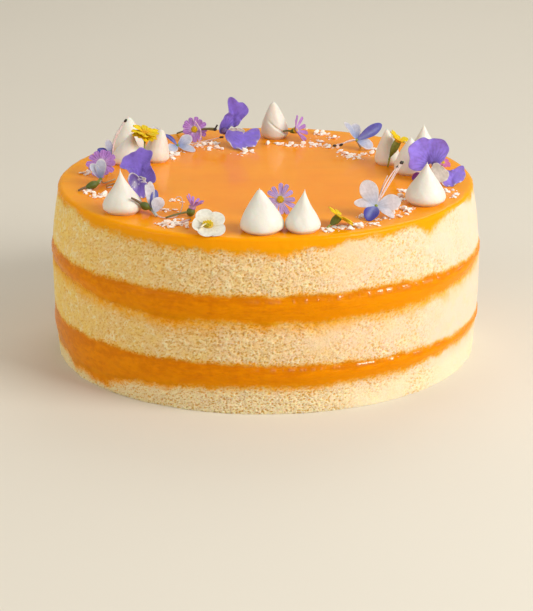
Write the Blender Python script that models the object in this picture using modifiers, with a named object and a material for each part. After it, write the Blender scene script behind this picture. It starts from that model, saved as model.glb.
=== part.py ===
"""Orange blossom cake: three sponge layers, two bands of orange curd, an orange glaze,
piped meringue kisses, edible blossoms and meringue crumbs in a ring round the top.

Metres, +Z up, origin at the centre of the underside. -Y is the front of the cake.
Sizes of the toppings are in millimetres, measured from the top of the glaze.
"""

import math
import random

import bmesh
import bpy
from mathutils import Matrix, Vector, noise

# ---------------------------------------------------------------- driving dimensions
MM = 0.001
CAKE_HEIGHT = 92.7 * MM
RADIUS_FOOT = 113.0 * MM
RADIUS_BELLY = 115.5 * MM
RADIUS_TOP = 111.0 * MM
BELLY_HEIGHT = 45.0 * MM
GLAZE_EDGE_ROUND = 2.0 * MM
LAYER_GAP = 0.3 * MM
TOPPING_GAP = 0.35 * MM
RIM_BAND = 0.84  # share of the radius inside which the layers are level
ROUND_STEPS = 60
EDGE_NOISE = 0.35 * MM

# Heights of the layer edges at the side, every 30 degrees round from the front, towards
# the right-hand side first. In millimetres.
CURD_LOWER_FOOT = (15, 15.5, 18, 20, 17, 14, 13, 14, 13, 11, 7.5, 12.5)
CURD_LOWER_HEAD = (27, 25.5, 24.5, 25, 26, 27, 26, 25.5, 26, 27, 27, 27)
CURD_UPPER_FOOT = (49, 49.5, 52.5, 56, 52, 50, 50, 51, 53, 55, 52.5, 50)
CURD_UPPER_HEAD = (63.5, 63.5, 61.5, 60.5, 62, 64, 64, 63.5, 63, 63, 63, 63.5)
GLAZE_FOOT = (86, 89, 89.7, 89.3, 88.5, 88, 88.5, 88, 89, 89.5, 89, 87)
UNDERSIDE = (0,)

CURD_BULGE = 0.6 * MM
PETAL_THICK = 0.45
PETAL_NECK = 0.35  # share of its width that a petal has at its base
VIOLET_THICK = 0.5
FILAMENT_THICK = 0.55
TWIG_THICK = 0.9

# Piped meringue kisses: name, x, y, radius, height, taper, lean of the tip in x and y.
KISSES = (
    ("meringue_front_left", -73.3, -63.2, 10.0, 23.0, 1.5, -1.0, 0.0),
    ("meringue_front_centre", -1.9, -98.0, 10.9, 22.3, 0.95, -1.2, 0.0),
    ("meringue_front_right", 18.4, -97.8, 8.7, 21.5, 1.3, 1.2, 0.0),
    ("meringue_right", 82.9, -48.7, 10.4, 21.9, 1.15, 0.8, 0.0),
    ("meringue_back_right_inner", 67.1, 29.5, 6.9, 20.0, 0.85, -0.4, 0.0),
    ("meringue_back_right_middle", 78.4, 10.0, 8.8, 20.0, 0.9, 0.4, 0.5),
    ("meringue_back_right_outer", 86.9, 28.6, 8.8, 22.4, 1.1, 0.0, 0.0),
    ("meringue_back_centre", 5.3, 88.2, 7.8, 21.4, 0.75, -0.6, 0.0),
    ("meringue_back_left_outer", -76.8, 58.0, 9.5, 20.3, 0.8, 0.4, 0.0),
    ("meringue_back_left_middle", -76.5, 32.5, 8.2, 16.9, 0.95, 3.4, 2.0),
    ("meringue_back_left_inner", -60.3, 37.0, 7.1, 18.4, 0.62, 3.0, 0.0),
)

# Blossoms with pale petals, a violet-blue one and long curved filaments. Each petal is its
# tip, its width, the side that it faces, its cup and, where it doesn't start at the middle,
# its base. A filament is its middle and its end, or all the points of its path.
BUTTERFLIES = {
    "butterfly_blossom_front_right": {
        "centre": (56.3, -72, 5.4),
        "dark": (((-4.4, -10.4, -4.9), 8.2, (-0.1, -0.7, 0.7), 0.22),),
        "pale": (
            ((-6.0, 4.0, 12.3), 10.0, (0.0, -1.0, 0.3), 0.05),
            ((-11.3, -1.0, 2.0), 5.8, (0.0, -0.6, 0.8), 0.05),
            ((12.6, 1.0, 2.4), 9.0, (0.0, -0.9, 0.5), 0.05),
            ((8.9, -6.0, -4.6), 4.8, (0.2, -0.5, 0.9), 0.05),
        ),
        "filaments": (
            ((6.6, 7.0, 10.0), (13.3, 15.0, 18.8)),
            ((5.2, 6.0, 10.4), (11.5, 14.6, 16.6)),
            ((3.0, 5.0, 7.5), (6.2, 10.0, 13.2)),
        ),
        "tube": (-1.0, 3.6, -3.2),
    },
    "butterfly_blossom_back_right": {
        "centre": (51.2, 58, 6.4),
        "dark": (((14.2, 3.5, 8.2), 6.4, (0.2, -0.9, 0.3), 0.25),),
        "pale": (
            ((-6.8, 3.0, 9.6), 5.0, (0.8, -0.6, 0.3), 0.05),
            ((-0.9, 5.5, 8.2), 6.8, (0.0, -1.0, 0.2), 0.08),
            ((9.2, -1.5, -3.9), 6.8, (0.0, -0.7, 0.7), 0.05),
        ),
        "filaments": (
            ((-4.5, -4.5, 0.8), (-9.0, -6.0, -1.2)),
            ((-6.0, -3.0, -0.6), (-12.6, -6.0, -1.6)),
        ),
        "tube": (2.5, 5.0, -5.2),
    },
    "butterfly_blossom_back_left": {
        "centre": (-49.4, 59.5, 3.5),
        "dark": (((-7.1, 0.0, 6.3), 3.4, (0.35, -0.45, 0.8), 0.2),),
        "pale": (
            ((8.0, 2.0, 4.5), 6.6, (0.0, -0.9, 0.45), 0.08),
            ((10.1, -4.2, -2.3), 5.0, (0.0, -0.6, 0.9), 0.05),
            ((-4.6, -5.4, -1.6), 6.6, (-0.1, -0.8, 0.6), 0.08),
        ),
        "filaments": (
            ((0.0, 0.0, 0.0), (4.4, 0.4, -1.4), (8.2, 2.0, -1.6), (11.4, 3.0, 0.4), (12.9, 3.5, 3.6),
             (13.2, 4.0, 6.2), (12.6, 4.5, 8.6), (9.8, 5.5, 12.9)),
            ((11.3, 5.7, 0.2), (24.4, 2.5, 4.0)),
        ),
        "tube": (2.0, 5.5, -1.6),
    },
    "butterfly_blossom_behind_left": {
        "centre": (-61.5, 61.5, 1.8),
        "dark": (),
        "pale": (((-1.7, 2.0, 11.3), 8.6, (0.1, -1.0, 0.25), 0.06),),
        "filaments": (),
        "tube": (1.6, -3.4, -0.4),
    },
    "butterfly_blossom_left": {
        "centre": (-87.9, -13.0, 3.7),
        "dark": (),
        "pale": (
            ((0.3, 3.5, 10.4), 6.2, (0.0, -1.0, 0.25), 0.06),
            ((-5.2, 2.8, 7.8), 5.0, (0.35, -0.9, 0.3), 0.25),
        ),
        "filaments": (),
        "tube": (-0.7, -3.6, -1.2),
        "calyx": ((-4.2, -8.0, -1.1), (-11.1, -12.1, -2.8), 8.4),
        "twigs": (((0.0, 0.0, -0.4), (1.4, 1.2, -2.4), (4.2, 5.4, -2.7), (7.1, 9.8, -2.7)),),
    },
    "butterfly_blossom_far_left": {
        "centre": (-83.0, 16.4, 8.6),
        "dark": (((-8.4, 0.6, 3.6), 4.2, (0.2, -0.8, 0.6), 0.15),),
        "pale": (((-3.0, 1.0, 9.2), 4.6, (0.0, -1.0, 0.1), 0.05),),
        "filaments": (
            ((1.2, 0.4, 8.5), (7.0, 3.0, 19.0)),
            ((0.4, -0.4, 6.0), (3.2, 1.6, 14.4)),
        ),
        "tube": (-1.6, 3.0, -7.8),
    },
    "butterfly_blossom_front_left": {
        "centre": (-58.7, -66.0, 2.3),
        "dark": (((2.4, 4.4, 9.2), 4.2, (0.3, -0.9, 0.3), 0.15),),
        "pale": (
            ((-2.5, 3.8, 12.2), 4.0, (0.55, -0.8, 0.2), 0.05),
            ((-0.5, 6.0, 13.2), 4.8, (0.0, -1.0, 0.3), 0.05),
            ((5.0, 0.0, 6.3), 7.2, (-0.1, -0.9, 0.5), 0.1, (2.0, -4.4, -0.5)),
        ),
        "filaments": (
            ((2.4, -6.4, -0.9), (6.0, -9.6, -1.5), (9.4, -10.2, -1.5), (12.6, -8.5, -1.5), (15.0, -4.0, -0.6),
             (16.2, -0.6, 2.4), (16.1, 0.0, 4.8), (15.0, 0.0, 6.6), (12.8, 0.0, 6.3)),
        ),
        "tube": (3.2, -7.8, -1.0),
        "calyx": ((-3.1, -2.5, 2.7), (-9.6, -5.2, 7.6), 6.2),
    },
}

# Small daisies: centre, the way the disc faces, petal length, petal count, how far the
# petals fold back from flat in degrees, the end of the stem, and the radius of the round
# green cup behind the disc, 0 for a plain pointed one.
DAISIES = {
    "daisy_front": ((7.5, -72.6, 9.8), (0.05, -1.0, 0.25), 8.2, 12, 8, (2.6, 4.6, -8.6), 0),
    "daisy_back_left": ((-40.3, 77.6, 7.8), (-0.1, -1.0, 0.3), 7.6, 13, 10, (-10.6, 17.8, -6.8), 0),
    "daisy_left": ((-88.4, 5.4, 7.2), (-0.1, -0.8, 0.62), 8.4, 12, 6, (2.6, 4.0, -6.8), 0),
    "daisy_back": ((17.0, 81.6, 5.6), (0.85, -0.3, 0.35), 9.0, 9, 30, (-6.8, -0.4, -0.4), 0),
    "daisy_front_left": ((-37.4, -72.0, 4.4), (0.35, 0.12, 0.93), 7.2, 10, 46, (-13.2, -7.4, -3.0), 2.2),
    "daisy_right": ((95.4, 10.0, 6.0), (0.4, -0.3, 0.85), 5.4, 9, 10, (-2.4, 5.4, -5.1), 0),
}

# Yellow blossoms: centre, the way they face, petal length, petal width, petal count, how
# far the petals rise, the tip of the green calyx, and where the stem ends.
YELLOWS = {
    "yellow_flower_back_left": ((-66.1, 31.0, 17.4), (0.27, -0.14, 0.95), 8.2, 3.4, 10, 14,
                                (-0.3, 0.8, -5.8), (-0.5, -3.2, -17.0)),
    "yellow_flower_front_right": ((36.7, -90.0, 5.2), (0.6, 0.14, 0.79), 8.2, 3.6, 9, 12,
                                  (-5.2, -5.0, -3.4), (-6.2, -6.0, -4.0)),
    "yellow_flower_back_right": ((72.2, 20.0, 15.1), (0.42, 0.02, 0.91), 7.2, 3.2, 8, 26,
                                 (-5.0, 0.9, -10.6), (-5.3, 0.9, -14.6)),
}

# White five-petalled flower: its middle, the way it faces, and the bearing in degrees and
# length of every petal.
WHITE_FLOWER = {
    "centre": (-28.8, -101.2, 4.6),
    "facing": (0.0, -0.54, 0.84),
    "petals": ((-36, 9.8), (41, 9.8), (107, 10.2), (175, 7.9), (265, 8.0)),
}

# Large two-lipped violet blossoms. Each sheet is its hub, how far it leans back from
# upright in degrees, its outline as radii at even angles from its right-hand side round,
# and the depth of its cup and of its ripples. A claw is the narrow foot of a petal, from
# the throat to the point given.
VIOLETS = {
    "violet_back_left": {
        "banner": (
            (-17.5, 75, 16.4), 17,
            (6.5, 8.7, 8.8, 9.1, 8, 9.9, 10.4, 5.8, 3.8, 4,
             5.6, 6.8, 10.5, 12.6, 6.4, 6.5, 6, 5.2, 4.8, 5.2),
            1.2, 0.5,
        ),
        "lower": (
            (-12.5, 66, 4.6), 61,
            (9.2, 10.6, 11.2, 8.4, 6.2, 7.2, 10.2, 10.9, 9.4, 8.2, 8.3, 8.8, 9, 6.8, 8.4, 8.2),
            1.2, 0.6,
        ),
        "lip": ((-15.8, 71.4, 8.0), 20, (4.2, 2.6, 1.8, 3.0, 5.4, 2.4, 1.6, 2.2), 0.6, 0.2),
        "throat": (-23.2, 71.6, 8.4),
    },
    "violet_left": {
        "banner": (
            (-66.0, -21, 12.0), 45,
            (5.6, 5.3, 6.4, 10.4, 10.9, 11.1, 9.4, 9.9, 10.9, 10.7,
             11, 8, 7, 6.8, 6.8, 7.4, 9.3, 12.6, 9.8, 6.6),
            1.6, 0.7,
        ),
        "lower": ((-66.5, -34, 5.6), 40, (5, 4.4, 3.9, 4.4, 8.2, 6.5, 4.6, 4.2, 5, 6.6, 7.6, 6), 0.8, 0.4),
        "lip": ((-68.0, -30.4, 7.8), 40, (5.2, 2.4, 1.6, 2.6, 4.6, 2.0, 1.4, 2.4), 0.4, 0.2),
        "throat": (-66.2, -29.3, 7.2),
    },
    "violet_right": {
        "banner": (
            (87.5, -6.5, 15.2), 16,
            (10, 11.1, 10.8, 9.8, 8.6, 7.8, 9.1, 9.7, 10.1, 11.6,
             10.9, 11, 13, 11.3, 8.6, 5.6, 5.8, 7.7, 8.1, 8.8),
            1.6, 0.7,
        ),
        "lower": (
            (99.5, -15.5, 4.9), 38,
            (6.9, 7.2, 8, 4.9, 3.8, 3.9, 6, 8, 7, 6.8, 6.8, 6.2, 5.6, 5, 5.2, 5.8),
            1.2, 0.7,
        ),
        "lip": ((91.8, -17.4, 7.6), 33, (5.5, 4.2, 4.5, 5.6, 4.5, 3.8, 3.8, 4.5, 5.6, 6), 0.5, 0.0),
        "throat": (90.4, -10.8, 10.2),
        "claws": ((91.8, -17.4, 7.6), (93.6, -14.6, 6.1)),
    },
}

# Patches of meringue crumbs on the glaze: x, y, radius of the patch, how many.
CRUMB_PATCHES = (
    (-98, 10, 3, 2), (-92, -31, 3, 3), (-85, -34, 3, 2), (-48.5, -87.5, 4.5, 5), (-41, -91, 3, 2),
    (-50, 46, 3, 2), (-33, 68, 4, 3), (-27, 60, 3, 2), (-8, 55, 4, 3), (2, 71, 3, 2),
    (14, 71, 2, 1), (22, 69, 3, 2), (29, 69, 3, 2), (32, 94, 4, 2), (38, 62, 4, 3),
    (46, 47, 3, 3), (62, 49, 4, 3), (35, -99.5, 3, 2), (45.5, -96, 3.5, 3), (66, -66, 4, 4),
    (74, -63, 3, 2), (70, -42, 3, 3), (98, -28, 3, 3), (-57, -88, 3, 1), (24, 103, 2, 1),
)
CRUMB_SIZE = (1.5, 3.0)
CRUMB_SEED = 14
CRUMB_LIMIT = 105.5  # no crumb reaches the rounded edge of the glaze

# Places that the crumbs keep away from, under and round the toppings: x, y, radius.
KEEP_CLEAR = tuple((kiss[1], kiss[2], kiss[3] + 0.6) for kiss in KISSES)

COLOURS = {
    "sponge": ((0.86, 0.66, 0.33, 1), 0.85),
    "curd": ((0.84, 0.33, 0.01, 1), 0.25),
    "glaze": ((0.87, 0.36, 0.03, 1), 0.12),
    "meringue": ((0.90, 0.88, 0.80, 1), 0.55),
    "violet": ((0.20, 0.13, 0.52, 1), 0.5),
    "pale_petal": ((0.70, 0.72, 0.86, 1), 0.45),
    "lilac": ((0.56, 0.33, 0.78, 1), 0.5),
    "yellow": ((0.95, 0.60, 0.01, 1), 0.5),
    "white_petal": ((0.88, 0.86, 0.76, 1), 0.5),
}


# ---------------------------------------------------------------- tools
def clear_scene():
    """Remove every object of the open scene."""
    for old in list(bpy.data.objects):
        bpy.data.objects.remove(old, do_unlink=True)


def make_collection(name):
    """A new collection in the scene."""
    made = bpy.data.collections.new(name)
    bpy.context.scene.collection.children.link(made)
    return made


def make_material(name):
    """A Principled material of a named colour."""
    colour, roughness = COLOURS[name]
    made = bpy.data.materials.new(name)
    made.use_nodes = True
    shader = made.node_tree.nodes["Principled BSDF"]
    shader.inputs["Base Color"].default_value = colour
    shader.inputs["Roughness"].default_value = roughness
    shader.inputs["Metallic"].default_value = 0.0
    return made


def object_from_bmesh(name, shape, group):
    """Put a bmesh into a new object of a collection."""
    mesh = bpy.data.meshes.new(name)
    bmesh.ops.recalc_face_normals(shape, faces=shape.faces)
    shape.to_mesh(mesh)
    shape.free()
    made = bpy.data.objects.new(name, mesh)
    group.objects.link(made)
    return made


def baked(source, group):
    """Replace an object by a mesh object with its modifiers or bevel applied."""
    bpy.context.view_layer.update()
    graph = bpy.context.evaluated_depsgraph_get()
    mesh = bpy.data.meshes.new_from_object(source.evaluated_get(graph))
    name = source.name
    place = source.matrix_world.copy()
    bpy.data.objects.remove(source, do_unlink=True)
    shape = bmesh.new()
    shape.from_mesh(mesh)
    bmesh.ops.remove_doubles(shape, verts=shape.verts, dist=1e-6)
    bmesh.ops.recalc_face_normals(shape, faces=shape.faces)
    shape.to_mesh(mesh)
    shape.free()
    made = bpy.data.objects.new(name, mesh)
    made.matrix_world = place
    group.objects.link(made)
    return made


def fuse(name, pieces, group, material, rests=True, solver="EXACT"):
    """Join overlapping pieces into one solid by a single union, then remove them.

    A topping that rests on the glaze has its origin at its foot, and is placed there so
    that it all but touches.
    """
    joined = pieces[0]
    joined.name = name
    operands = bpy.data.collections.new(name + "_pieces")
    for piece in pieces[1:]:
        for holder in list(piece.users_collection):
            holder.objects.unlink(piece)
        operands.objects.link(piece)
    union = joined.modifiers.new("union", "BOOLEAN")
    union.operation = "UNION"
    union.operand_type = "COLLECTION"
    union.collection = operands
    union.solver = solver
    made = baked(joined, group)
    for piece in list(operands.objects):
        bpy.data.objects.remove(piece, do_unlink=True)
    bpy.data.collections.remove(operands)
    if rests:
        foot = sum((point.co for point in made.data.vertices), Vector()) / len(made.data.vertices)
        foot.z = min(point.co.z for point in made.data.vertices)
        made.data.transform(Matrix.Translation(-foot))
        made.location = (foot.x, foot.y, CAKE_HEIGHT + TOPPING_GAP)
    return dressed(made, name, material)


def dressed(item, name, material):
    """Name an object, give it its material and shade it smooth."""
    item.name = name
    item.data.name = name
    item.data.materials.clear()
    item.data.materials.append(material)
    item.data.shade_smooth()
    item.data.set_sharp_from_angle(angle=math.radians(50))
    return item


def above_glaze(point):
    """World position of a point given in millimetres above the glaze."""
    return Vector((point[0] * MM, point[1] * MM, CAKE_HEIGHT + point[2] * MM))


def periodic(values, turn):
    """Smooth closed curve through even steps of one turn, by cubic interpolation."""
    count = len(values)
    place = turn % 1.0 * count
    i = int(place)
    t = place - i
    a, b, c, d = (values[(i + k) % count] for k in (-1, 0, 1, 2))
    return b + 0.5 * t * (c - a + t * (2 * a - 5 * b + 4 * c - d + t * (3 * (b - c) + d - a)))


# ---------------------------------------------------------------- cake layers
def side_radius(height):
    """Radius of the side: widest at the belly, drawn in towards foot and top."""
    if height < BELLY_HEIGHT:
        share = (BELLY_HEIGHT - height) / BELLY_HEIGHT
        return RADIUS_BELLY - (RADIUS_BELLY - RADIUS_FOOT) * share**2
    share = (height - BELLY_HEIGHT) / (CAKE_HEIGHT - BELLY_HEIGHT)
    return RADIUS_BELLY - (RADIUS_BELLY - RADIUS_TOP) * share**2.2


def edge_height(edge, turn, share):
    """Height of a layer edge: as measured at the rim, level at its mean further in."""
    mean = sum(edge) / len(edge)
    reach = min(max((share - RIM_BAND) / (1 - RIM_BAND), 0.0), 1.0)
    return (mean + (periodic(edge, turn) - mean) * reach * reach * (3 - 2 * reach)) * MM


def cake_layer(name, foot, head, bulge, group, material):
    """A disc of cake: a turned profile whose two edges follow their measured heights.

    The profile is turned at unit height, then each point takes the height between the
    two edges and the radius of the side there, with a bulge at the middle.
    """
    side = ((1, 1), (1, 0.5), (1, 0)) if bulge else ((1, 1), (1, 0))
    outline = ((0, 1), (RIM_BAND, 1), *side, (RIM_BAND, 0), (0, 0))
    disc = turned(name, outline, ROUND_STEPS, group)
    split_band(disc.data)
    for point in disc.data.vertices:
        share = math.hypot(point.co.x, point.co.y)
        turn = math.atan2(point.co.x, -point.co.y) / math.tau
        low = edge_height(foot, turn, share) + 0.5 * LAYER_GAP
        high = edge_height(head, turn, share) - 0.5 * LAYER_GAP
        if foot == UNDERSIDE:
            low = 0.0
        height = low + (high - low) * point.co.z
        middle = 4 * point.co.z * (1 - point.co.z)
        radius = side_radius(height) + bulge * middle * share
        radius += EDGE_NOISE * noise.noise(Vector((point.co.x * 4, point.co.y * 4, height * 70)))
        point.co = Vector((point.co.x * radius, point.co.y * radius, height))
    return dressed(disc, name, material)


def glaze_layer(group):
    """The glaze: a shallow disc with a rounded upper edge and a wandering lower edge."""
    drop = GLAZE_EDGE_ROUND
    outline = ((0, 1), (RIM_BAND, 1), (0.976, 1), (0.991, 0.86), (1, 0.5), (1, 0),
               (RIM_BAND, 0), (0, 0))
    disc = turned("glaze", outline, ROUND_STEPS, group)
    split_band(disc.data)
    for point in disc.data.vertices:
        share = math.hypot(point.co.x, point.co.y)
        turn = math.atan2(point.co.x, -point.co.y) / math.tau
        low = edge_height(GLAZE_FOOT, turn, share) + 0.5 * LAYER_GAP
        if point.co.z > 0.4:
            height = CAKE_HEIGHT - drop * 2 * (1 - point.co.z)
        else:
            height = low
        radius = side_radius(height)
        radius += EDGE_NOISE * noise.noise(Vector((point.co.x * 4, point.co.y * 4, height * 70)))
        point.co = Vector((point.co.x * radius, point.co.y * radius, height))
    return disc


def split_band(mesh):
    """Split the level faces next to the rim along the same diagonals in every layer."""
    shape = bmesh.new()
    shape.from_mesh(mesh)
    for face in [face for face in shape.faces if len(face.verts) == 4 and abs(face.normal.z) > 0.9]:
        centre = face.calc_center_median().xy
        corners = sorted(face.verts, key=lambda point: point.co.xy.length)
        inner = min(corners[:2], key=lambda point: centre.cross(point.co.xy))
        outer = max(corners[2:], key=lambda point: centre.cross(point.co.xy))
        bmesh.utils.face_split(face, inner, outer)
    shape.to_mesh(mesh)
    shape.free()


def turned(name, outline, steps, group):
    """A closed profile turned once round Z, as a mesh."""
    mesh = bpy.data.meshes.new(name)
    edges = [(i, i + 1) for i in range(len(outline) - 1)]
    mesh.from_pydata([(x, 0, z) for x, z in outline], edges, [])
    profile = bpy.data.objects.new(name, mesh)
    group.objects.link(profile)
    screw = profile.modifiers.new("turn", "SCREW")
    screw.steps = steps
    screw.render_steps = steps
    screw.use_merge_vertices = True
    screw.merge_threshold = 1e-4
    return baked(profile, group)


# ---------------------------------------------------------------- meringues
KISS_ROWS = (0.0, 0.09, 0.22, 0.42, 0.62, 0.81)
KISS_STEPS = 12
KISS_WIDEST = 0.2


def kiss_radius(rise, taper):
    """Share of the widest radius at a share of the height.

    The smaller of a dome round the widest ring and a cone to the tip, softly blended.
    """
    spread = 0.36 if rise < KISS_WIDEST else 0.75
    dome = math.sqrt(max(1 - ((rise - KISS_WIDEST) / spread) ** 2, 1e-6))
    cone = 1.08 * (max(1 - rise, 1e-6) / (1 - KISS_WIDEST)) ** taper
    blend = (cone**-8 + dome**-8) ** -0.125
    return blend / (1.08**-8 + 1) ** -0.125


def meringue(kiss, group, material):
    """A piped kiss: a turned drop with a pointed tip that leans a little."""
    name, x, y, radius, height, taper, lean_x, lean_y = kiss
    outline = [(0, 1)]
    outline += [(kiss_radius(rise, taper), rise) for rise in reversed(KISS_ROWS)]
    outline += [(0, 0)]
    drop = turned(name, outline, KISS_STEPS, group)
    for point in drop.data.vertices:
        rise = point.co.z
        point.co = MM * Vector((
            radius * point.co.x + lean_x * rise**2,
            radius * point.co.y + lean_y * rise**2,
            height * rise,
        ))
    drop.location = (x * MM, y * MM, CAKE_HEIGHT + TOPPING_GAP)
    return dressed(drop, name, material)


# ---------------------------------------------------------------- blossoms
def sheet(name, across, along, place, thick, group):
    """A thin wavy solid: a grid laid out by a function of its two sides, then thickened.

    Both sides run from -1 to 1, and both faces are split into triangles alike.
    """
    grid = bmesh.new()
    bmesh.ops.create_grid(grid, x_segments=across, y_segments=along, size=1.0)
    bmesh.ops.triangulate(grid, faces=grid.faces)
    for point in grid.verts:
        point.co = place(point.co.x, point.co.y)
    made = object_from_bmesh(name, grid, group)
    wall = made.modifiers.new("thickness", "SOLIDIFY")
    wall.thickness = thick * MM
    wall.offset = 0
    return baked(made, group)


def round_corners(s, t):
    """A square's point moved into the unit disc, by the elliptical mapping."""
    return s * math.sqrt(1 - t * t / 2), t * math.sqrt(1 - s * s / 2)


def petal(name, base, tip, width, facing, cup, group):
    """An ovate petal from its base to its tip, facing one way, with its sides cupped.

    The width narrows towards the base, to the share that the neck has.
    """
    base, tip = Vector(base), Vector(tip)
    axis = tip - base
    length = axis.length
    axis.normalize()
    front = Vector(facing)
    front = (front - front.dot(axis) * axis).normalized()
    side = axis.cross(front)

    def place(s, t):
        a, b = round_corners(s, t)
        u = 0.5 * (b + 1)
        taper = PETAL_NECK + (1 - PETAL_NECK) * math.sin(0.5 * math.pi * min(1.35 * u, 1.0))
        x = 0.5 * width * a * taper
        z = cup * width * (a * taper) ** 2
        return above_glaze(base + side * x + axis * (length * u) + front * z)

    return sheet(name, 2, 3, place, PETAL_THICK, group)


def rosette(name, centre, facing, lobes, middle, rise, back, half_width, group):
    """A solid ring of petals round a raised disc, with a pointed calyx behind.

    Each petal runs out from the edge of the disc to two shoulders and a tip. Its front
    and its back are split alike, and a narrow wall joins them all round.
    """
    centre = Vector(centre)
    right, up, front = facing_frame(facing)
    count = len(lobes)
    rows = []
    for i, (bearing, length, lift) in enumerate(lobes):
        start = 0.5 * (bearing + (lobes[i - 1][0] if i else lobes[-1][0] - math.tau))
        rows.append((start, middle, 0.0))
        for part, reach in ((-1, 0.84), (0, 1.0), (1, 0.84)):
            rows.append((bearing + part * half_width / (reach * length), reach * length, lift))
    flower = bmesh.new()
    layers = []
    for depth in (0.5 * PETAL_THICK, -0.5 * PETAL_THICK):
        layer = []
        for bearing, length, lift in rows:
            way = right * math.cos(bearing) + up * math.sin(bearing)
            spot = centre + way * (length * math.cos(lift)) + front * (length * math.sin(lift) + depth)
            layer.append(flower.verts.new(above_glaze(spot)))
        apex = flower.verts.new(above_glaze(centre + (front * rise if depth > 0 else Vector(back))))
        for i in range(count):
            first, left, tip, far, last = (layer[(4 * i + k) % (4 * count)] for k in range(5))
            for corners in ((first, left, tip), (first, tip, last), (tip, far, last), (apex, first, last)):
                flower.faces.new(corners)
        layers.append(layer)
    for i in range(4 * count):
        j = (i + 1) % (4 * count)
        flower.faces.new((layers[0][i], layers[0][j], layers[1][j], layers[1][i]))
    return object_from_bmesh(name, flower, group)


def ring_of_lobes(name, count, length, fold):
    """Bearing, length and rise of every petal of a ring, each a little its own way."""
    draw = random.Random(name)
    return [
        (
            math.tau * (i + draw.uniform(-0.12, 0.12)) / count,
            length * draw.uniform(0.88, 1.05),
            math.radians(fold + draw.uniform(-7, 7)),
        )
        for i in range(count)
    ]


def blossom_sheet(name, form, segments, group):
    """A large wavy petal: a disc drawn out to its outline, cupped, with rippled edges."""
    hub, lean, outline, cup, ripple = form
    angle = math.radians(lean)
    up = Vector((0, math.sin(angle), math.cos(angle)))
    right = Vector((1, 0, 0))
    front = right.cross(up)

    def place(s, t):
        a, b = round_corners(s, t)
        rho = math.hypot(a, b)
        bearing = math.atan2(b, a)
        reach = periodic(outline, bearing / math.tau)
        depth = cup * rho * rho - 0.5 * cup
        depth += ripple * rho**3 * math.sin(3 * bearing + hub[0])
        return above_glaze(Vector(hub) + right * (a * reach) + up * (b * reach) + front * depth)

    return sheet(name, segments, segments, place, VIOLET_THICK, group)


def ball(name, centre, radii, group, segments, rings):
    """A small ellipsoid."""
    shape = bmesh.new()
    bmesh.ops.create_uvsphere(shape, u_segments=segments, v_segments=rings, radius=1.0)
    for point in shape.verts:
        point.co = above_glaze([c + r * p for c, r, p in zip(centre, radii, point.co)])
    return object_from_bmesh(name, shape, group)


def cone(name, base, tip, radius_base, radius_tip, group, segments):
    """A tapered round piece between two points."""
    base, tip = Vector(base), Vector(tip)
    axis = tip - base
    shape = bmesh.new()
    bmesh.ops.create_cone(
        shape, cap_ends=True, cap_tris=False, segments=segments,
        radius1=radius_base, radius2=radius_tip, depth=axis.length,
    )
    turn = axis.to_track_quat("Z", "Y").to_matrix().to_4x4()
    bmesh.ops.transform(shape, matrix=Matrix.Translation(0.5 * (base + tip)) @ turn, verts=shape.verts)
    for point in shape.verts:
        point.co = above_glaze(point.co)
    return object_from_bmesh(name, shape, group)


def thread(name, points, thick, group):
    """A thin bent filament or stem: a curve with a round section and filled caps."""
    curve = bpy.data.curves.new(name, "CURVE")
    curve.dimensions = "3D"
    curve.bevel_depth = 0.5 * thick * MM
    curve.bevel_resolution = 0
    curve.use_fill_caps = True
    line = curve.splines.new("POLY")
    line.points.add(len(points) - 1)
    for knot, point in zip(line.points, points):
        knot.co = (*above_glaze(point), 1)
    made = bpy.data.objects.new(name, curve)
    group.objects.link(made)
    return baked(made, group)


def arc(start, middle, end, steps):
    """Points on the parabola that passes start, middle and end."""
    start, middle, end = Vector(start), Vector(middle), Vector(end)
    knee = 2 * middle - 0.5 * (start + end)
    return [
        start * (1 - t) ** 2 + knee * 2 * t * (1 - t) + end * t * t
        for t in (i / steps for i in range(steps + 1))
    ]


def butterfly(name, form, group, material):
    """A blossom of pale petals and a violet-blue one, with filaments, a tube and a calyx."""
    centre = Vector(form["centre"])
    pieces = [ball(name, centre, (1.3, 1.3, 1.2), group, 6, 4)]
    for i, (tip, width, facing, cup, *base) in enumerate((*form["dark"], *form["pale"])):
        start = centre + Vector(base[0]) if base else centre
        pieces.append(petal(f"{name}_petal{i}", start, centre + Vector(tip), width, facing, cup, group))
    for i, path in enumerate(form["filaments"]):
        points = [centre + Vector(point) for point in path]
        if len(points) == 2:
            points = arc(centre, *points, 4)
        pieces.append(thread(f"{name}_filament{i}", points, FILAMENT_THICK, group))
    for i, path in enumerate(form.get("twigs", ())):
        points = [centre + Vector(point) for point in path]
        pieces.append(thread(f"{name}_twig{i}", points, TWIG_THICK, group))
    pieces.append(cone(name + "_tube", centre, centre + Vector(form["tube"]), 0.7, 0.9, group, 6))
    if "calyx" in form:
        middle, stem_tip, length = form["calyx"]
        middle = centre + Vector(middle)
        stem_tip = centre + Vector(stem_tip)
        way = (stem_tip - middle).normalized()
        pieces.append(cone(name + "_neck", centre, middle, 0.8, 1.3, group, 6))
        pieces.append(ball(name + "_calyx", middle - way * 0.08 * length, (2.1, 2.1, 2.1), group, 9, 6))
        pieces.append(cone(name + "_calyx_ends", middle - way * 0.5 * length, middle + way * 0.5 * length,
                           1.5, 1.0, group, 7))
        pieces.append(cone(name + "_stem", middle, stem_tip, 0.8, 0.6, group, 5))
    return fuse(name, pieces, group, material)


def facing_frame(facing):
    """Right, up and outward directions of a flower's face."""
    front = Vector(facing).normalized()
    right = Vector((0, 0, 1)).cross(front)
    right = right.normalized() if right.length > 0.1 else Vector((1, 0, 0))
    return right, front.cross(right), front


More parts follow.
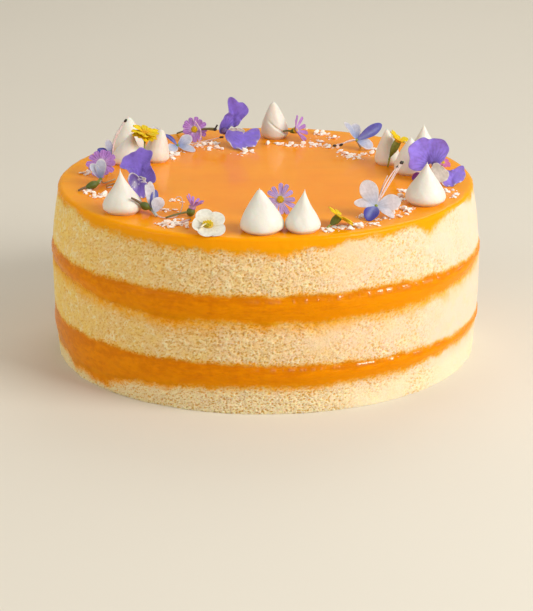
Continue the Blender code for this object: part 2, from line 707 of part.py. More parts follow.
def daisy(name, form, group, material):
    """A daisy: a domed disc, narrow petals round it, a calyx or a cup behind and a stem."""
    centre, facing, length, count, fold, stem, cup = form
    front = facing_frame(facing)[2]
    lobes = ring_of_lobes(name, count, length, fold)
    centre = Vector(centre)
    pieces = [
        rosette(name, centre, facing, lobes, 1.9, 1.1, front * -3.0, 1.1, group),
        cone(name + "_stem", centre - front * 1.2, centre + Vector(stem), 0.7, 0.5, group, 5),
    ]
    if cup:
        pieces.append(ball(name + "_cup", centre - front * cup, (cup, cup, cup), group, 9, 6))
    return fuse(name, pieces, group, material)


def yellow_flower(name, form, group, material):
    """A yellow blossom: round petals spread from a green calyx on a short stem."""
    centre, facing, length, width, count, fold, calyx, stem = form
    lobes = ring_of_lobes(name, count, length, fold)
    centre, calyx = Vector(centre), Vector(calyx)
    pieces = [
        rosette(name, centre, facing, lobes, 2.2, 1.0, calyx, 0.5 * width, group),
        cone(name + "_calyx", centre + 0.3 * calyx, centre + calyx, 1.3, 0.7, group, 6),
        cone(name + "_stem", centre + 0.8 * calyx, centre + Vector(stem), 0.5, 0.4, group, 5),
    ]
    return fuse(name, pieces, group, material)


def white_flower(group, material):
    """A five-petalled white flower, leaning back, with a raised yellow middle."""
    name = "white_flower"
    centre = Vector(WHITE_FLOWER["centre"])
    front = facing_frame(WHITE_FLOWER["facing"])[2]
    lobes = [(math.radians(bearing), length, 0.06) for bearing, length in WHITE_FLOWER["petals"]]
    pieces = [
        rosette(name, centre, front, lobes, 5.9, -0.2, front * -0.8, 3.9, group),
        ball(name + "_middle", centre, (2.8, 1.8, 1.5), group, 8, 4),
    ]
    return fuse(name, pieces, group, material)


def violet(name, form, group, material):
    """A violet: an upper banner, a lower petal and a lip, held together by the throat."""
    pieces = [blossom_sheet(name, form["banner"], 6, group)]
    pieces.append(blossom_sheet(name + "_lower", form["lower"], 4, group))
    pieces.append(blossom_sheet(name + "_lip", form["lip"], 3, group))
    pieces.append(ball(name + "_throat", form["throat"], (2.5, 3.0, 3.2), group, 7, 4))
    for i, tip in enumerate(form.get("claws", ())):
        pieces.append(cone(f"{name}_claw{i}", form["throat"], tip, 0.9, 0.6, group, 6))
    return fuse(name, pieces, group, material, solver="MANIFOLD")


# ---------------------------------------------------------------- crumbs
def crumb(name, x, y, size, draw, group):
    """A broken flake of meringue, sunk a little into the glaze."""
    shape = bmesh.new()
    bmesh.ops.create_cube(shape, size=1.7)
    bmesh.ops.triangulate(shape, faces=shape.faces)
    turn = Matrix.Rotation(draw.uniform(0, math.pi), 3, "Z")
    radii = Vector((0.5 * size, 0.5 * size * draw.uniform(0.5, 0.75), 0.3 * size * draw.uniform(0.8, 1.1)))
    for point in shape.verts:
        rough = Vector([p * r * draw.uniform(0.7, 1.15) for p, r in zip(point.co, radii)])
        point.co = above_glaze(Vector((x, y, 0.4 * radii.z)) + turn @ rough)
    return object_from_bmesh(name, shape, group)


def crumbs(group):
    """The larger crumbs of every patch, apart from those that would touch a topping."""
    draw = random.Random(CRUMB_SEED)
    clear_of = list(KEEP_CLEAR)
    made = []
    for x, y, spread, count in CRUMB_PATCHES:
        for _ in range(count):
            bearing = draw.uniform(0, math.tau)
            away = spread * math.sqrt(draw.random())
            size = draw.uniform(*CRUMB_SIZE)
            spot = (x + away * math.cos(bearing), y + away * math.sin(bearing))
            free = all(math.dist(spot, taken[:2]) > taken[2] + 0.65 * size for taken in clear_of)
            if free and math.hypot(*spot) < CRUMB_LIMIT:
                clear_of.append((*spot, 0.65 * size))
                made.append(crumb(f"crumb{len(made)}", *spot, size, draw, group))
    return made


# ---------------------------------------------------------------- assembly
def main():
    """Build the cake from the foot up, then its toppings."""
    clear_scene()
    cake = make_collection("orange_blossom_cake")
    looks = {name: make_material(name) for name in COLOURS}
    cake_layer("sponge_bottom", UNDERSIDE, CURD_LOWER_FOOT, 0.0, cake, looks["sponge"])
    cake_layer("curd_lower", CURD_LOWER_FOOT, CURD_LOWER_HEAD, CURD_BULGE, cake, looks["curd"])
    cake_layer("sponge_middle", CURD_LOWER_HEAD, CURD_UPPER_FOOT, 0.0, cake, looks["sponge"])
    cake_layer("curd_upper", CURD_UPPER_FOOT, CURD_UPPER_HEAD, CURD_BULGE, cake, looks["curd"])
    cake_layer("sponge_top", CURD_UPPER_HEAD, GLAZE_FOOT, 0.0, cake, looks["sponge"])
    fuse("glaze", [glaze_layer(cake), *crumbs(cake)], cake, looks["glaze"], rests=False)
    for kiss in KISSES:
        meringue(kiss, cake, looks["meringue"])
    for name, form in VIOLETS.items():
        violet(name, form, cake, looks["violet"])
    for name, form in BUTTERFLIES.items():
        butterfly(name, form, cake, looks["pale_petal"])
    for name, form in DAISIES.items():
        daisy(name, form, cake, looks["lilac"])
    for name, form in YELLOWS.items():
        yellow_flower(name, form, cake, looks["yellow"])
    white_flower(cake, looks["white_petal"])
    body = bpy.data.objects.new("cake", None)
    for piece in cake.objects:
        piece.parent = body
    cake.objects.link(body)


main()
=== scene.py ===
"""Orange blossom cake: the look of every layer and topping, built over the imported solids.

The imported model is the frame. Every surface is worked out here from sizes in millimetres:
the side of the cake as an open crumb soaked with orange curd, the mirror glaze, the piped
meringues, the blossoms petal by petal, and the crumbs.
"""

from __future__ import annotations

import itertools
import logging
import math
import random
from dataclasses import dataclass, replace
from enum import Enum
from typing import Sequence

import bpy
import numpy as np
from mathutils import Matrix, Vector


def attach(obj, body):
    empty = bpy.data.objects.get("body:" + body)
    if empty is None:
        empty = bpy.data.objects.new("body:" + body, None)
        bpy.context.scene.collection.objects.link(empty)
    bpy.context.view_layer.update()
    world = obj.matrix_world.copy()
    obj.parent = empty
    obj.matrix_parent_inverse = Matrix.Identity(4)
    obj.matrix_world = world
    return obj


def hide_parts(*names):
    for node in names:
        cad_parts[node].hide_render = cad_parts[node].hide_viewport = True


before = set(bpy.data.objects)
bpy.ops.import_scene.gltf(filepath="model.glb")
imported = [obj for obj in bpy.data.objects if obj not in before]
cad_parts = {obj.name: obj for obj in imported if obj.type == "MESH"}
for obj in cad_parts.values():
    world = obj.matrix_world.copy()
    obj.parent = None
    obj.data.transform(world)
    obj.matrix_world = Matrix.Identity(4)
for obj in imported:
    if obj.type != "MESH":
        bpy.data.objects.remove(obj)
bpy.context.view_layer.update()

MM = 0.001
TAU = math.tau
Array = np.ndarray
Point = Sequence[float]
Material = bpy.types.Material
Piece = bpy.types.Object
Socket = bpy.types.NodeSocket
log = logging.getLogger("cake")


class Slot(Enum):
    """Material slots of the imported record."""

    SPONGE = "sponge"
    CURD = "curd"
    GLAZE = "glaze"
    MERINGUE = "meringue"
    VIOLET = "violet_petal"
    PALE = "pale_petal"
    LILAC = "lilac_petal"
    YELLOW = "yellow_petal"
    WHITE = "white_petal"


# ---------------- numeric helpers
def smoothstep(low: float, high: float, value: Array) -> Array:
    """Rise softly from 0 to 1 between two values.

    Args:
        low: Value below which the result is 0.
        high: Value above which the result is 1.
        value: Where to work it out.

    Returns:
        Array of the same shape as value.
    """
    t = np.clip((value - low) / (high - low), 0.0, 1.0)
    return t * t * (3 - 2 * t)


def closed_curve(values: Sequence[float], turn: Array) -> Array:
    """Smooth closed curve through even steps of one turn, by cubic interpolation.

    Args:
        values: Heights or radii at even steps.
        turn: Places along the curve, 1 for a whole turn.

    Returns:
        The curve's value at each place.
    """
    table = np.asarray(values, float)
    place = np.mod(turn, 1.0) * len(table)
    i = np.floor(place).astype(int)
    t = place - i
    a, b, c, d = (table[(i + k) % len(table)] for k in (-1, 0, 1, 2))
    return b + 0.5 * t * (c - a + t * (2 * a - 5 * b + 4 * c - d + t * (3 * (b - c) + d - a)))


def unit(vector: Point) -> Array:
    """The direction of a vector, at length 1."""
    array = np.asarray(vector, float)
    return array / np.linalg.norm(array, axis=-1, keepdims=True)


def blend(low: Array, high: Array, share: Array) -> Array:
    """Mix two colours by a share that has one value for each point."""
    share = np.asarray(share)[..., None]
    return np.asarray(low, float) * (1 - share) + np.asarray(high, float) * share


class Noise:
    """Seeded smooth noise, worked out for whole arrays at once."""

    @staticmethod
    def white(cells: Array, salt: int) -> Array:
        """A fixed random number from 0 to 1 for each cell of a lattice.

        Args:
            cells: Whole coordinates, the last axis holding 3 of them.
            salt: Seed.

        Returns:
            One number for each cell.
        """
        whole = cells.astype(np.int64) * np.array([73856093, 19349663, 83492791])
        mixed = (whole.sum(-1) + salt * 1013904223) & 0xFFFFFFFF
        for shift, factor in ((16, 0x7FEB352D), (15, 0x846CA68B)):
            mixed = ((mixed ^ (mixed >> shift)) * factor) & 0xFFFFFFFF
        return (mixed ^ (mixed >> 16)) / 2.0**32

    @classmethod
    def smooth(cls, points: Array, salt: int) -> Array:
        """Noise from -1 to 1: white values at lattice corners, joined by smoothstep.

        Args:
            points: Places, the last axis holding 3 coordinates.
            salt: Seed.

        Returns:
            One number for each place.
        """
        base = np.floor(points)
        t = points - base
        t = t * t * (3 - 2 * t)
        total = np.zeros(points.shape[:-1])
        for corner in itertools.product((0, 1), repeat=3):
            weight = np.prod(np.where(np.array(corner), t, 1 - t), axis=-1)
            total += weight * cls.white(base + np.array(corner), salt)
        return 2 * total - 1

    @classmethod
    def layered(cls, points: Array, octaves: int, salt: int) -> Array:
        """Sum of smooth noise at doubling frequencies and halving strengths.

        Args:
            points: Places, the last axis holding 3 coordinates.
            octaves: Number of layers.
            salt: Seed.

        Returns:
            One number for each place, from -1 to 1.
        """
        total = np.zeros(points.shape[:-1])
        for i in range(octaves):
            total += cls.smooth(points * 2.0**i + 7.3 * i, salt + i) * 0.5**i
        return total / (2 - 0.5 ** (octaves - 1))

    @classmethod
    def pores(cls, u: Array, v: Array, wrap: int, salt: int, small: float, large: float) -> Array:
        """Round dents scattered over a plane of unit cells that closes on itself in u.

        Each cell holds one dent, of a random place and radius. The depth falls from 1 at
        its middle to 0 at its edge as one less the squared distance over the radius.

        Args:
            u: First coordinate, in cells.
            v: Second coordinate, in cells.
            wrap: Number of cells after which u repeats.
            salt: Seed.
            small: Smallest radius, in cells.
            large: Largest radius, in cells.

        Returns:
            Depth of the deepest dent over each point, from 0 to 1.
        """
        home_u, home_v = np.floor(u), np.floor(v)
        depth = np.zeros(np.shape(u))
        for du, dv in itertools.product((-1, 0, 1), repeat=2):
            cell = np.stack([np.mod(home_u + du, wrap), home_v + dv, np.zeros_like(home_u)], -1)
            away_u = u - home_u - du - cls.white(cell, salt)
            away_v = v - home_v - dv - cls.white(cell, salt + 1)
            radius = small + (large - small) * cls.white(cell, salt + 2) ** 1.6
            depth = np.maximum(depth, 1 - (away_u**2 + 1.3 * away_v**2) / radius**2)
        return depth


# ---------------- mesh building
class Shell:
    """Collects surfaces in millimetres and turns them into one mesh object."""

    def __init__(self) -> None:
        """Start empty."""
        self.points: list[Array] = []
        self.quads: list[Array] = []
        self.tris: list[Array] = []
        self.tints: list[Array] = []
        self.uvs: list[Array] = []
        self.marks: dict[str, list[Array]] = {}
        self.count = 0

    def add(self, points: Array, quads: Array, tris: Array, tint: Array, uv: Array, **marks: Array) -> None:
        """Add points with their faces, colours, texture coordinates and marks.

        Args:
            points: Places, N by 3.
            quads: Faces of four corners, counted from 0.
            tris: Faces of three corners, counted from 0.
            tint: Colour for each point, or one for all.
            uv: Texture coordinates, N by 2.
            marks: Named numbers, one for each point.
        """
        size = len(points)
        self.points.append(points)
        self.quads.append(np.asarray(quads, int).reshape(-1, 4) + self.count)
        self.tris.append(np.asarray(tris, int).reshape(-1, 3) + self.count)
        self.tints.append(np.broadcast_to(np.asarray(tint, float), (size, 3)))
        self.uvs.append(uv)
        for name, values in marks.items():
            self.marks.setdefault(name, []).append(np.ravel(values))
        self.count += size

    def grid(self, grid: Array, tint: Array = (1, 1, 1), wrap: bool = False, capped: bool = False,
             uv: Array | None = None, **marks: Array) -> None:
        """Add a surface given as rows of points.

        Args:
            grid: Rows by columns by 3.
            tint: Rows by columns by 3, or one colour.
            wrap: Whether the columns close on themselves.
            capped: Whether the first and last rows are closed by a fan.
            uv: Rows by columns by 2; even steps if left out.
            marks: Named numbers, rows by columns.
        """
        rows, cols = grid.shape[:2]
        if uv is None:
            uv = np.stack(np.meshgrid(np.linspace(0, 1, cols), np.linspace(0, 1, rows)), -1)
        start = (np.arange(rows - 1) * cols)[:, None]
        here = np.arange(cols if wrap else cols - 1)[None]
        after = (here + 1) % cols
        quads = np.stack([start + here, start + after, start + cols + after, start + cols + here], -1)
        points = grid.reshape(-1, 3)
        tint = np.broadcast_to(np.asarray(tint, float), grid.shape).reshape(-1, 3)
        uv = uv.reshape(-1, 2)
        marks = {name: np.ravel(values) for name, values in marks.items()}
        tris = np.zeros((0, 3), int)
        if capped:
            ring = np.arange(cols)
            last = (rows - 1) * cols
            size = len(points)
            after = (ring + 1) % cols
            foot = np.stack([np.full(cols, size), after, ring], -1)
            head = np.stack([np.full(cols, size + 1), last + ring, last + after], -1)
            tris = np.concatenate([foot, head])
            points = np.concatenate([points, grid[:1].mean(1), grid[-1:].mean(1)])
            tint = np.concatenate([tint, tint[:1], tint[-1:]])
            uv = np.concatenate([uv, uv[:1], uv[-1:]])
            marks = {name: np.concatenate([m, m[:1], m[-1:]]) for name, m in marks.items()}
        self.add(points, quads, tris, tint, uv, **marks)

    def build(self, name: str, material: Material, smooth: bool = True,
              creases: Sequence[tuple[int, int]] = ()) -> Piece:
        """Make the mesh object.

        Args:
            name: The object's name.
            material: Its finish.
            smooth: Whether its faces are shaded smooth.
            creases: First and last point, the last left out, of each ring that stays sharp.

        Returns:
            The object, in the scene.
        """
        points = np.concatenate(self.points) * MM
        quads, tris = np.concatenate(self.quads), np.concatenate(self.tris)
        corners = np.concatenate([quads.ravel(), tris.ravel()]).astype(np.int32)
        sizes = np.concatenate([np.full(len(quads), 4), np.full(len(tris), 3)])
        starts = np.concatenate([[0], np.cumsum(sizes)[:-1]]).astype(np.int32)
        mesh = bpy.data.meshes.new(name)
        mesh.vertices.add(len(points))
        mesh.vertices.foreach_set("co", points.astype(np.float32).ravel())
        mesh.loops.add(len(corners))
        mesh.loops.foreach_set("vertex_index", corners)
        mesh.polygons.add(len(starts))
        mesh.polygons.foreach_set("loop_start", starts)
        mesh.update(calc_edges=True)
        mesh.validate()
        colours = np.ones((len(points), 4), np.float32)
        colours[:, :3] = np.concatenate(self.tints)
        mesh.color_attributes.new("tint", "FLOAT_COLOR", "POINT").data.foreach_set("color", colours.ravel())
        for mark, parts in self.marks.items():
            values = np.concatenate(parts).astype(np.float32)
            mesh.attributes.new(mark, "FLOAT", "POINT").data.foreach_set("value", values)
        uv = np.concatenate(self.uvs)[corners].astype(np.float32)
        mesh.uv_layers.new(name="UVMap").data.foreach_set("uv", uv.ravel())
        mesh.polygons.foreach_set("use_smooth", np.full(len(starts), smooth))
        if creases:
            ends = np.empty(len(mesh.edges) * 2, np.int32)
            mesh.edges.foreach_get("vertices", ends)
            ends = ends.reshape(-1, 2)
            sharp = np.any([((ends >= a) & (ends < b)).all(1) for a, b in creases], axis=0)
            mesh.attributes.new("sharp_edge", "BOOLEAN", "EDGE").data.foreach_set("value", sharp)
        mesh.materials.append(material)
        piece = bpy.data.objects.new(name, mesh)
        bpy.context.scene.collection.objects.link(piece)
        return piece


def tube(path: Array, radii: Array, sides: int = 12) -> Array:
    """Rings round a path: each has its own radius and lies square to the path.

    Args:
        path: Points along the middle, N by 3.
        radii: Radius at each of them.
        sides: Points in each ring.

    Returns:
        Rings by sides by 3.
    """
    path = np.asarray(path, float)
    along = unit(np.gradient(path, axis=0))
    aside = np.array([0.21, 0.35, 0.91]) if abs(along[:, 2]).mean() < 0.8 else np.array([0.9, 0.4, 0.1])
    first = unit(np.cross(along, aside))
    second = np.cross(along, first)
    angle = np.arange(sides) * TAU / sides
    ring = first[:, None] * np.cos(angle)[None, :, None] + second[:, None] * np.sin(angle)[None, :, None]
    return path[:, None] + ring * np.asarray(radii, float)[:, None, None]


def arc(start: Point, middle: Point, end: Point, steps: int) -> Array:
    """Points on the parabola through start, middle and end.

    Args:
        start: Where it begins.
        middle: Where it is halfway.
        end: Where it ends.
        steps: Number of points.

    Returns:
        The points, steps by 3.
    """
    start, middle, end = (np.asarray(p, float) for p in (start, middle, end))
    knee = 2 * middle - 0.5 * (start + end)
    t = np.linspace(0, 1, steps)[:, None]
    return start * (1 - t) ** 2 + knee * 2 * t * (1 - t) + end * t * t


def smooth_path(points: Sequence[Point], steps: int) -> Array:
    """Points on a smooth open curve through all the given ones, by cubic interpolation.

    Args:
        points: Places that the curve goes through.
        steps: Number of points on the curve.

    Returns:
        The curve, steps by 3.
    """
    table = np.asarray(points, float)
    table = np.concatenate([2 * table[:1] - table[1:2], table, 2 * table[-1:] - table[-2:-1]])
    place = np.linspace(0, len(points) - 1, steps)
    i = np.minimum(np.floor(place).astype(int), len(points) - 2)
    t = (place - i)[:, None]
    a, b, c, d = (table[i + k] for k in range(4))
    return b + 0.5 * t * (c - a + t * (2 * a - 5 * b + 4 * c - d + t * (3 * (b - c) + d - a)))


def ball(centre: Point, radii: Point, axis: Point = (0, 0, 1), rows: int = 10, cols: int = 14) -> Array:
    """Rings of an ellipsoid whose third radius lies along an axis.

    Args:
        centre: Its middle.
        radii: Two radii across the axis and one along it.
        axis: The axis.
        rows: Number of rings.
        cols: Points in each ring.

    Returns:
        Rings by points by 3.
    """
    axis = unit(axis)
    side = unit(np.cross(axis, (0.3, 0.9, 0.1) if abs(axis[2]) > 0.7 else (0, 0, 1)))
    other = np.cross(axis, side)
    polar = np.linspace(-0.48, 0.48, rows) * math.pi
    angle = np.arange(cols) * TAU / cols
    x = np.cos(polar)[:, None] * np.cos(angle) * radii[0]
    y = np.cos(polar)[:, None] * np.sin(angle) * radii[1]
    z = np.sin(polar)[:, None] * np.ones(cols) * radii[2]
    return np.asarray(centre) + x[..., None] * side + y[..., None] * other + z[..., None] * axis


def facing_frame(facing: Point) -> tuple[Array, Array, Array]:
    """Right, up and outward directions of a flower's face.

    Args:
        facing: The way it looks.

    Returns:
        The three directions, each at length 1.
    """
    front = unit(facing)
    right = np.cross((0.0, 0.0, 1.0), front)
    right = unit(right) if np.linalg.norm(right) > 0.1 else np.array([1.0, 0.0, 0.0])
    return right, np.cross(front, right), front


# ---------------- finishes
def srgb(red: float, green: float, blue: float) -> tuple[float, float, float]:
    """A colour named by its screen values of 0 to 255, as linear light."""
    return tuple(((c / 255 + 0.055) / 1.055) ** 2.4 if c > 10 else c / 3294.6 for c in (red, green, blue))


class NodeGraph:
    """Adds and joins the shader nodes of one material."""

    def __init__(self, name: str) -> None:
        """Start a material that holds a Principled shader.

        Args:
            name: The material's name.
        """
        self.material = bpy.data.materials.new(name)
        self.material.use_nodes = True
        self.nodes = self.material.node_tree.nodes
        self.links = self.material.node_tree.links
        self.shader = self.nodes["Principled BSDF"]
        self.output = self.nodes["Material Output"]
        self.place = self.add("ShaderNodeTexCoord").outputs["Object"]

    def add(self, kind: str, **settings: object) -> bpy.types.Node:
        """Add a node, set its properties by name, and its inputs by their labels.

        Args:
            kind: The node's type.
            settings: Its properties and inputs, with _ for a space in a label.

        Returns:
            The node.
        """
        node = self.nodes.new(kind)
        for name, value in settings.items():
            label = name.replace("_", " ")
            if hasattr(node, name):
                setattr(node, name, value)
            else:
                self.feed(node.inputs[label], value)
        return node

    def feed(self, socket: Socket, value: object) -> None:
        """Link a socket to another one, or set its value.

        Args:
            socket: The input.
            value: An output to link it to, a colour or a number.
        """
        if isinstance(value, Socket):
            self.links.new(value, socket)
        elif isinstance(value, tuple) and socket.type == "RGBA":
            socket.default_value = (*value[:3], 1.0)
        else:
            socket.default_value = value

    def mark(self, name: str) -> Socket:
        """A number that the mesh carries at each point."""
        return self.add("ShaderNodeAttribute", attribute_name=name).outputs["Fac"]

    def tint(self) -> Socket:
        """The colour that the mesh carries at each point."""
        return self.add("ShaderNodeAttribute", attribute_name="tint").outputs["Color"]

    def noise(self, scale: float, detail: float = 3.0, stretch: Point = (1, 1, 1)) -> Socket:
        """Noise over the object's own coordinates.

        Args:
            scale: Cells a metre.
            detail: Number of finer layers.
            stretch: Factor on the scale along each axis.

        Returns:
            The noise, mostly from 0.3 to 0.7.
        """
        spread = self.add("ShaderNodeVectorMath", operation="MULTIPLY")
        self.feed(spread.inputs[0], self.place)
        spread.inputs[1].default_value = stretch
        node = self.add("ShaderNodeTexNoise", Scale=scale, Detail=detail, Roughness=0.55)
        self.feed(node.inputs["Vector"], spread.outputs["Vector"])
        return node.outputs["Fac"]

    def cells(self, scale: float) -> Socket:
        """Distance to the nearest point of a random scatter.

        Args:
            scale: Points a metre.

        Returns:
            The distance, in cells.
        """
        node = self.add("ShaderNodeTexVoronoi", Scale=scale)
        self.feed(node.inputs["Vector"], self.place)
        return node.outputs["Distance"]

    def ranged(self, value: object, low: float, high: float, to_low: float,
               to_high: float) -> Socket:
        """Map one range of a value to another, clamped.

        Args:
            value: What is mapped.
            low: Start of its range.
            high: End of its range.
            to_low: What the start becomes.
            to_high: What the end becomes.

        Returns:
            The mapped value.
        """
        node = self.add("ShaderNodeMapRange")
        for i, item in enumerate((value, low, high, to_low, to_high)):
            self.feed(node.inputs[i], item)
        return node.outputs["Result"]

    def join(self, operation: str, first: object, second: object) -> Socket:
        """Join two values by one arithmetic operation.

        Args:
            operation: ADD, SUBTRACT, MULTIPLY or MAXIMUM.
            first: One value.
            second: The other value.

        Returns:
            The result.
        """
        node = self.add("ShaderNodeMath", operation=operation)
        self.feed(node.inputs[0], first)
        self.feed(node.inputs[1], second)
        return node.outputs["Value"]

    def mix(self, share: object, first: object, second: object, mode: str = "MIX") -> Socket:
        """Blend two colours by a share.

        Args:
            share: How much of the second, from 0 to 1.
            first: One colour.
            second: The other colour.
            mode: MIX, or MULTIPLY to darken the first by the second.

        Returns:
            The colour.
        """
        node = self.add("ShaderNodeMix", data_type="RGBA", blend_type=mode)
        self.feed(node.inputs["Factor"], share)
        inputs = [socket for socket in node.inputs if socket.type == "RGBA"]
        self.feed(inputs[0], first)
        self.feed(inputs[1], second)
        return [socket for socket in node.outputs if socket.type == "RGBA"][0]

    def bump(self, height: Socket, distance: float, strength: float = 1.0) -> None:
        """Let a height, in metres when multiplied by distance, tilt the surface's shading."""
        node = self.add("ShaderNodeBump", Strength=strength, Distance=distance, Height=height)
        self.feed(self.shader.inputs["Normal"], node.outputs["Normal"])

    def set(self, **values: object) -> None:
        """Set the Principled shader's inputs by their labels."""
        for name, value in values.items():
            self.feed(self.shader.inputs[name.replace("_", " ")], value)


@dataclass(frozen=True)
class CakeFinish:
    """Open sponge crumb, soaked by orange curd and overrun by an orange mirror glaze.

    The mesh says how deep each pore is, how much curd or glaze covers a place, how far
    juice has soaked in, where in the curd's height a place lies, how near the rim it is,
    how much painted shade and dampness the crumb and curd carry (deeper and warmer on the
    left, away from the key light), which raised bits of crumb get a painted highlight,
    where the crumb is painted paler near the floor, as painted light against the shade
    there, and where a bead of curd glints. Pores are painted darker, as painted shade,
    and noise and cells add the finer crumb, its cells painted as dark pores.
    """

    wall: tuple = srgb(247, 217, 192)
    # Deeper, warmer crumb: painted shade on the left side, away from the key light, with some dampness.
    damp_and_shade: tuple = srgb(251, 214, 121)
    # Colour in the pores: painted shade.
    hollow: tuple = srgb(232, 180, 84)
    # Painted highlight on raised bits of crumb.
    lit_ridge: tuple = srgb(255, 240, 196)
    # Crumb near the floor is painted paler: painted light against the darker, pinker shade there.
    foot: tuple = srgb(252, 240, 204)
    soaked: tuple = srgb(246, 172, 36)
    curd_low: tuple = srgb(230, 143, 0)
    curd_middle: tuple = srgb(232, 142, 0)
    curd_high: tuple = srgb(218, 127, 2)
    curd_deep: tuple = srgb(204, 110, 0)
    rim: tuple = srgb(248, 160, 0)
    top: tuple = srgb(255, 156, 16)
    top_deep: tuple = srgb(244, 134, 8)

    def build(self) -> Material:
        """Make the material: crumb under juice, under curd, under glaze.

        Returns:
            The material.
        """
        g = NodeGraph("sponge_curd_and_glaze")
        curd, icing, rim = g.mark("curd"), g.mark("icing"), g.mark("rim")
        wetness = g.join("MAXIMUM", curd, icing)
        mirror = g.join("MULTIPLY", icing, g.ranged(rim, 0.0, 1.0, 0.16, 0.05))
        glint = g.join("MULTIPLY", curd, g.mark("glint"))
        g.set(
            Base_Color=g.mix(icing, g.mix(curd, self.crumb(g), self.curd(g)), self.glaze(g, rim)),
            Roughness=g.ranged(wetness, 0.2, 0.9, 0.8, 0.2),
            Specular_IOR_Level=0.06,
            Subsurface_Weight=0.35,
            Subsurface_Scale=0.003,
            Coat_Weight=g.join("MAXIMUM", mirror, glint),
            Coat_Roughness=0.07,
            Coat_IOR=2.0,
        )
        g.shader.inputs["Subsurface Radius"].default_value = (1.0, 0.62, 0.2)
        rough = g.join("MULTIPLY", g.join("SUBTRACT", 1.0, wetness), g.noise(2600, 3))
        sleek = g.join("MULTIPLY", curd, g.noise(300, 3, (1, 1, 3)))
        still = g.join("MULTIPLY", icing, g.join("SUBTRACT", 1.0, rim))
        ripple = g.join("MULTIPLY", still, g.noise(95, 3, (0.16, 3.2, 1)))
        g.bump(g.join("ADD", g.join("ADD", rough, sleek), g.join("MULTIPLY", ripple, 0.1)), 0.0005, 0.8)
        return g.material

    def crumb(self, g: NodeGraph) -> Socket:
        """Colour of the crumb: drier or damper, painted shade on its left side and in its pores,
        a painted highlight on raised bits, painted light near the floor, soaked near the curd.

        Args:
            g: The material's nodes.

        Returns:
            The colour.
        """
        damp_and_shade, pore = g.mark("damp_and_shade"), g.mark("pore")
        # Fine dark cells are painted pores, painted shade that the mesh does not carry; more of them on the
        # left.
        fine = g.ranged(g.cells(1450), 0.05, 0.42, 1.0, 0.0)
        fine_pore_shade = g.join("MULTIPLY", fine, g.ranged(damp_and_shade, 0.0, 0.45, 0.06, 0.24))
        depth = g.join("MAXIMUM", pore, fine_pore_shade)
        # The left side is painted deeper and warmer here: painted shade away from the key light, with some
        # dampness.
        patchy = g.join("ADD", damp_and_shade, g.ranged(g.noise(120, 4), 0.35, 0.75, -0.14, 0.22))
        crumb = g.mix(g.ranged(patchy, 0.0, 1.0, 0.0, 1.0), self.wall, self.damp_and_shade)
        # Painted paler near the floor: painted light against the shade there.
        crumb = g.mix(g.join("MULTIPLY", g.mark("low"), 0.6), crumb, self.foot)
        # Raised bits of crumb get a painted highlight.
        crumb = g.mix(g.join("MULTIPLY", g.mark("lit_ridge"), 0.75), crumb, self.lit_ridge)
        # Painted shade in the pores, deeper with their depth.
        crumb = g.mix(g.ranged(depth, 0.0, 0.8, 0.0, 1.0), crumb, self.hollow)
        juice = g.join("MULTIPLY", g.mark("soak"), g.ranged(g.noise(420, 3), 0.3, 0.6, 0.55, 1.0))
        return g.mix(juice, crumb, self.soaked)

    def curd(self, g: NodeGraph) -> Socket:
        """Colour of the curd: three shades by height, in level streaks, mottled darker towards the left,
        partly as painted shade.

        Args:
            g: The material's nodes.

        Returns:
            The colour.
        """
        damp_and_shade = g.mark("damp_and_shade")
        streak = g.ranged(g.noise(75, 5, (1, 1, 5)), 0.3, 0.7, -0.38, 0.34)
        fleck = g.join("MULTIPLY", damp_and_shade, g.ranged(g.noise(300, 4, (1, 1, 1.6)), 0.3, 0.7, -0.5, 0.4))
        ramp = g.add("ShaderNodeValToRGB")
        g.feed(ramp.inputs["Fac"], g.join("ADD", g.mark("level"), g.join("ADD", streak, fleck)))
        stops = ((0.0, self.curd_low), (0.45, self.curd_middle), (0.86, self.curd_high))
        for i, (place, colour) in enumerate(stops):
            stop = ramp.color_ramp.elements.new(place) if i > 1 else ramp.color_ramp.elements[i]
            stop.position = place
            stop.color = (*colour, 1.0)
        # Darker patches, more of them on the left: partly painted shade.
        mottle = g.ranged(g.noise(190, 5, (1, 1, 1.8)), 0.42, 0.66, 0.0, 0.6)
        return g.mix(g.join("MULTIPLY", damp_and_shade, mottle), ramp.outputs["Color"], self.curd_deep)

    def glaze(self, g: NodeGraph, rim: Socket) -> Socket:
        """Colour of the glaze: faintly cloudy, another shade near the rim.

        Args:
            g: The material's nodes.
            rim: How near the rim a place lies.

        Returns:
            The colour.
        """
        cloud = g.ranged(g.noise(24, 4), 0.35, 0.7, 0.0, 0.6)
        return g.mix(rim, g.mix(cloud, self.top, self.top_deep), self.rim)


@dataclass(frozen=True)
class MeringueFinish:
    """Dry meringue: off-white, faintly glossy, soft under the surface where it is thick."""

    name: str = "meringue"
    colour: tuple = srgb(231, 230, 221)
    shade: tuple = srgb(222, 217, 205)
    soft: float = 0.3

    def build(self) -> Material:
        """Make the material.

        Returns:
            The material.
        """
        g = NodeGraph(self.name)
        cloudy = g.mix(g.ranged(g.noise(130, 4), 0.35, 0.7, 0.0, 0.7), self.colour, self.shade)
        g.set(
            Base_Color=g.mix(1.0, cloudy, g.tint(), "MULTIPLY"),
            Roughness=g.ranged(g.noise(300, 3), 0.3, 0.7, 0.42, 0.6),
            Subsurface_Weight=self.soft,
            Subsurface_Scale=0.003,
        )
        g.bump(g.noise(700, 4), 0.0002, 0.5)
        return g.material


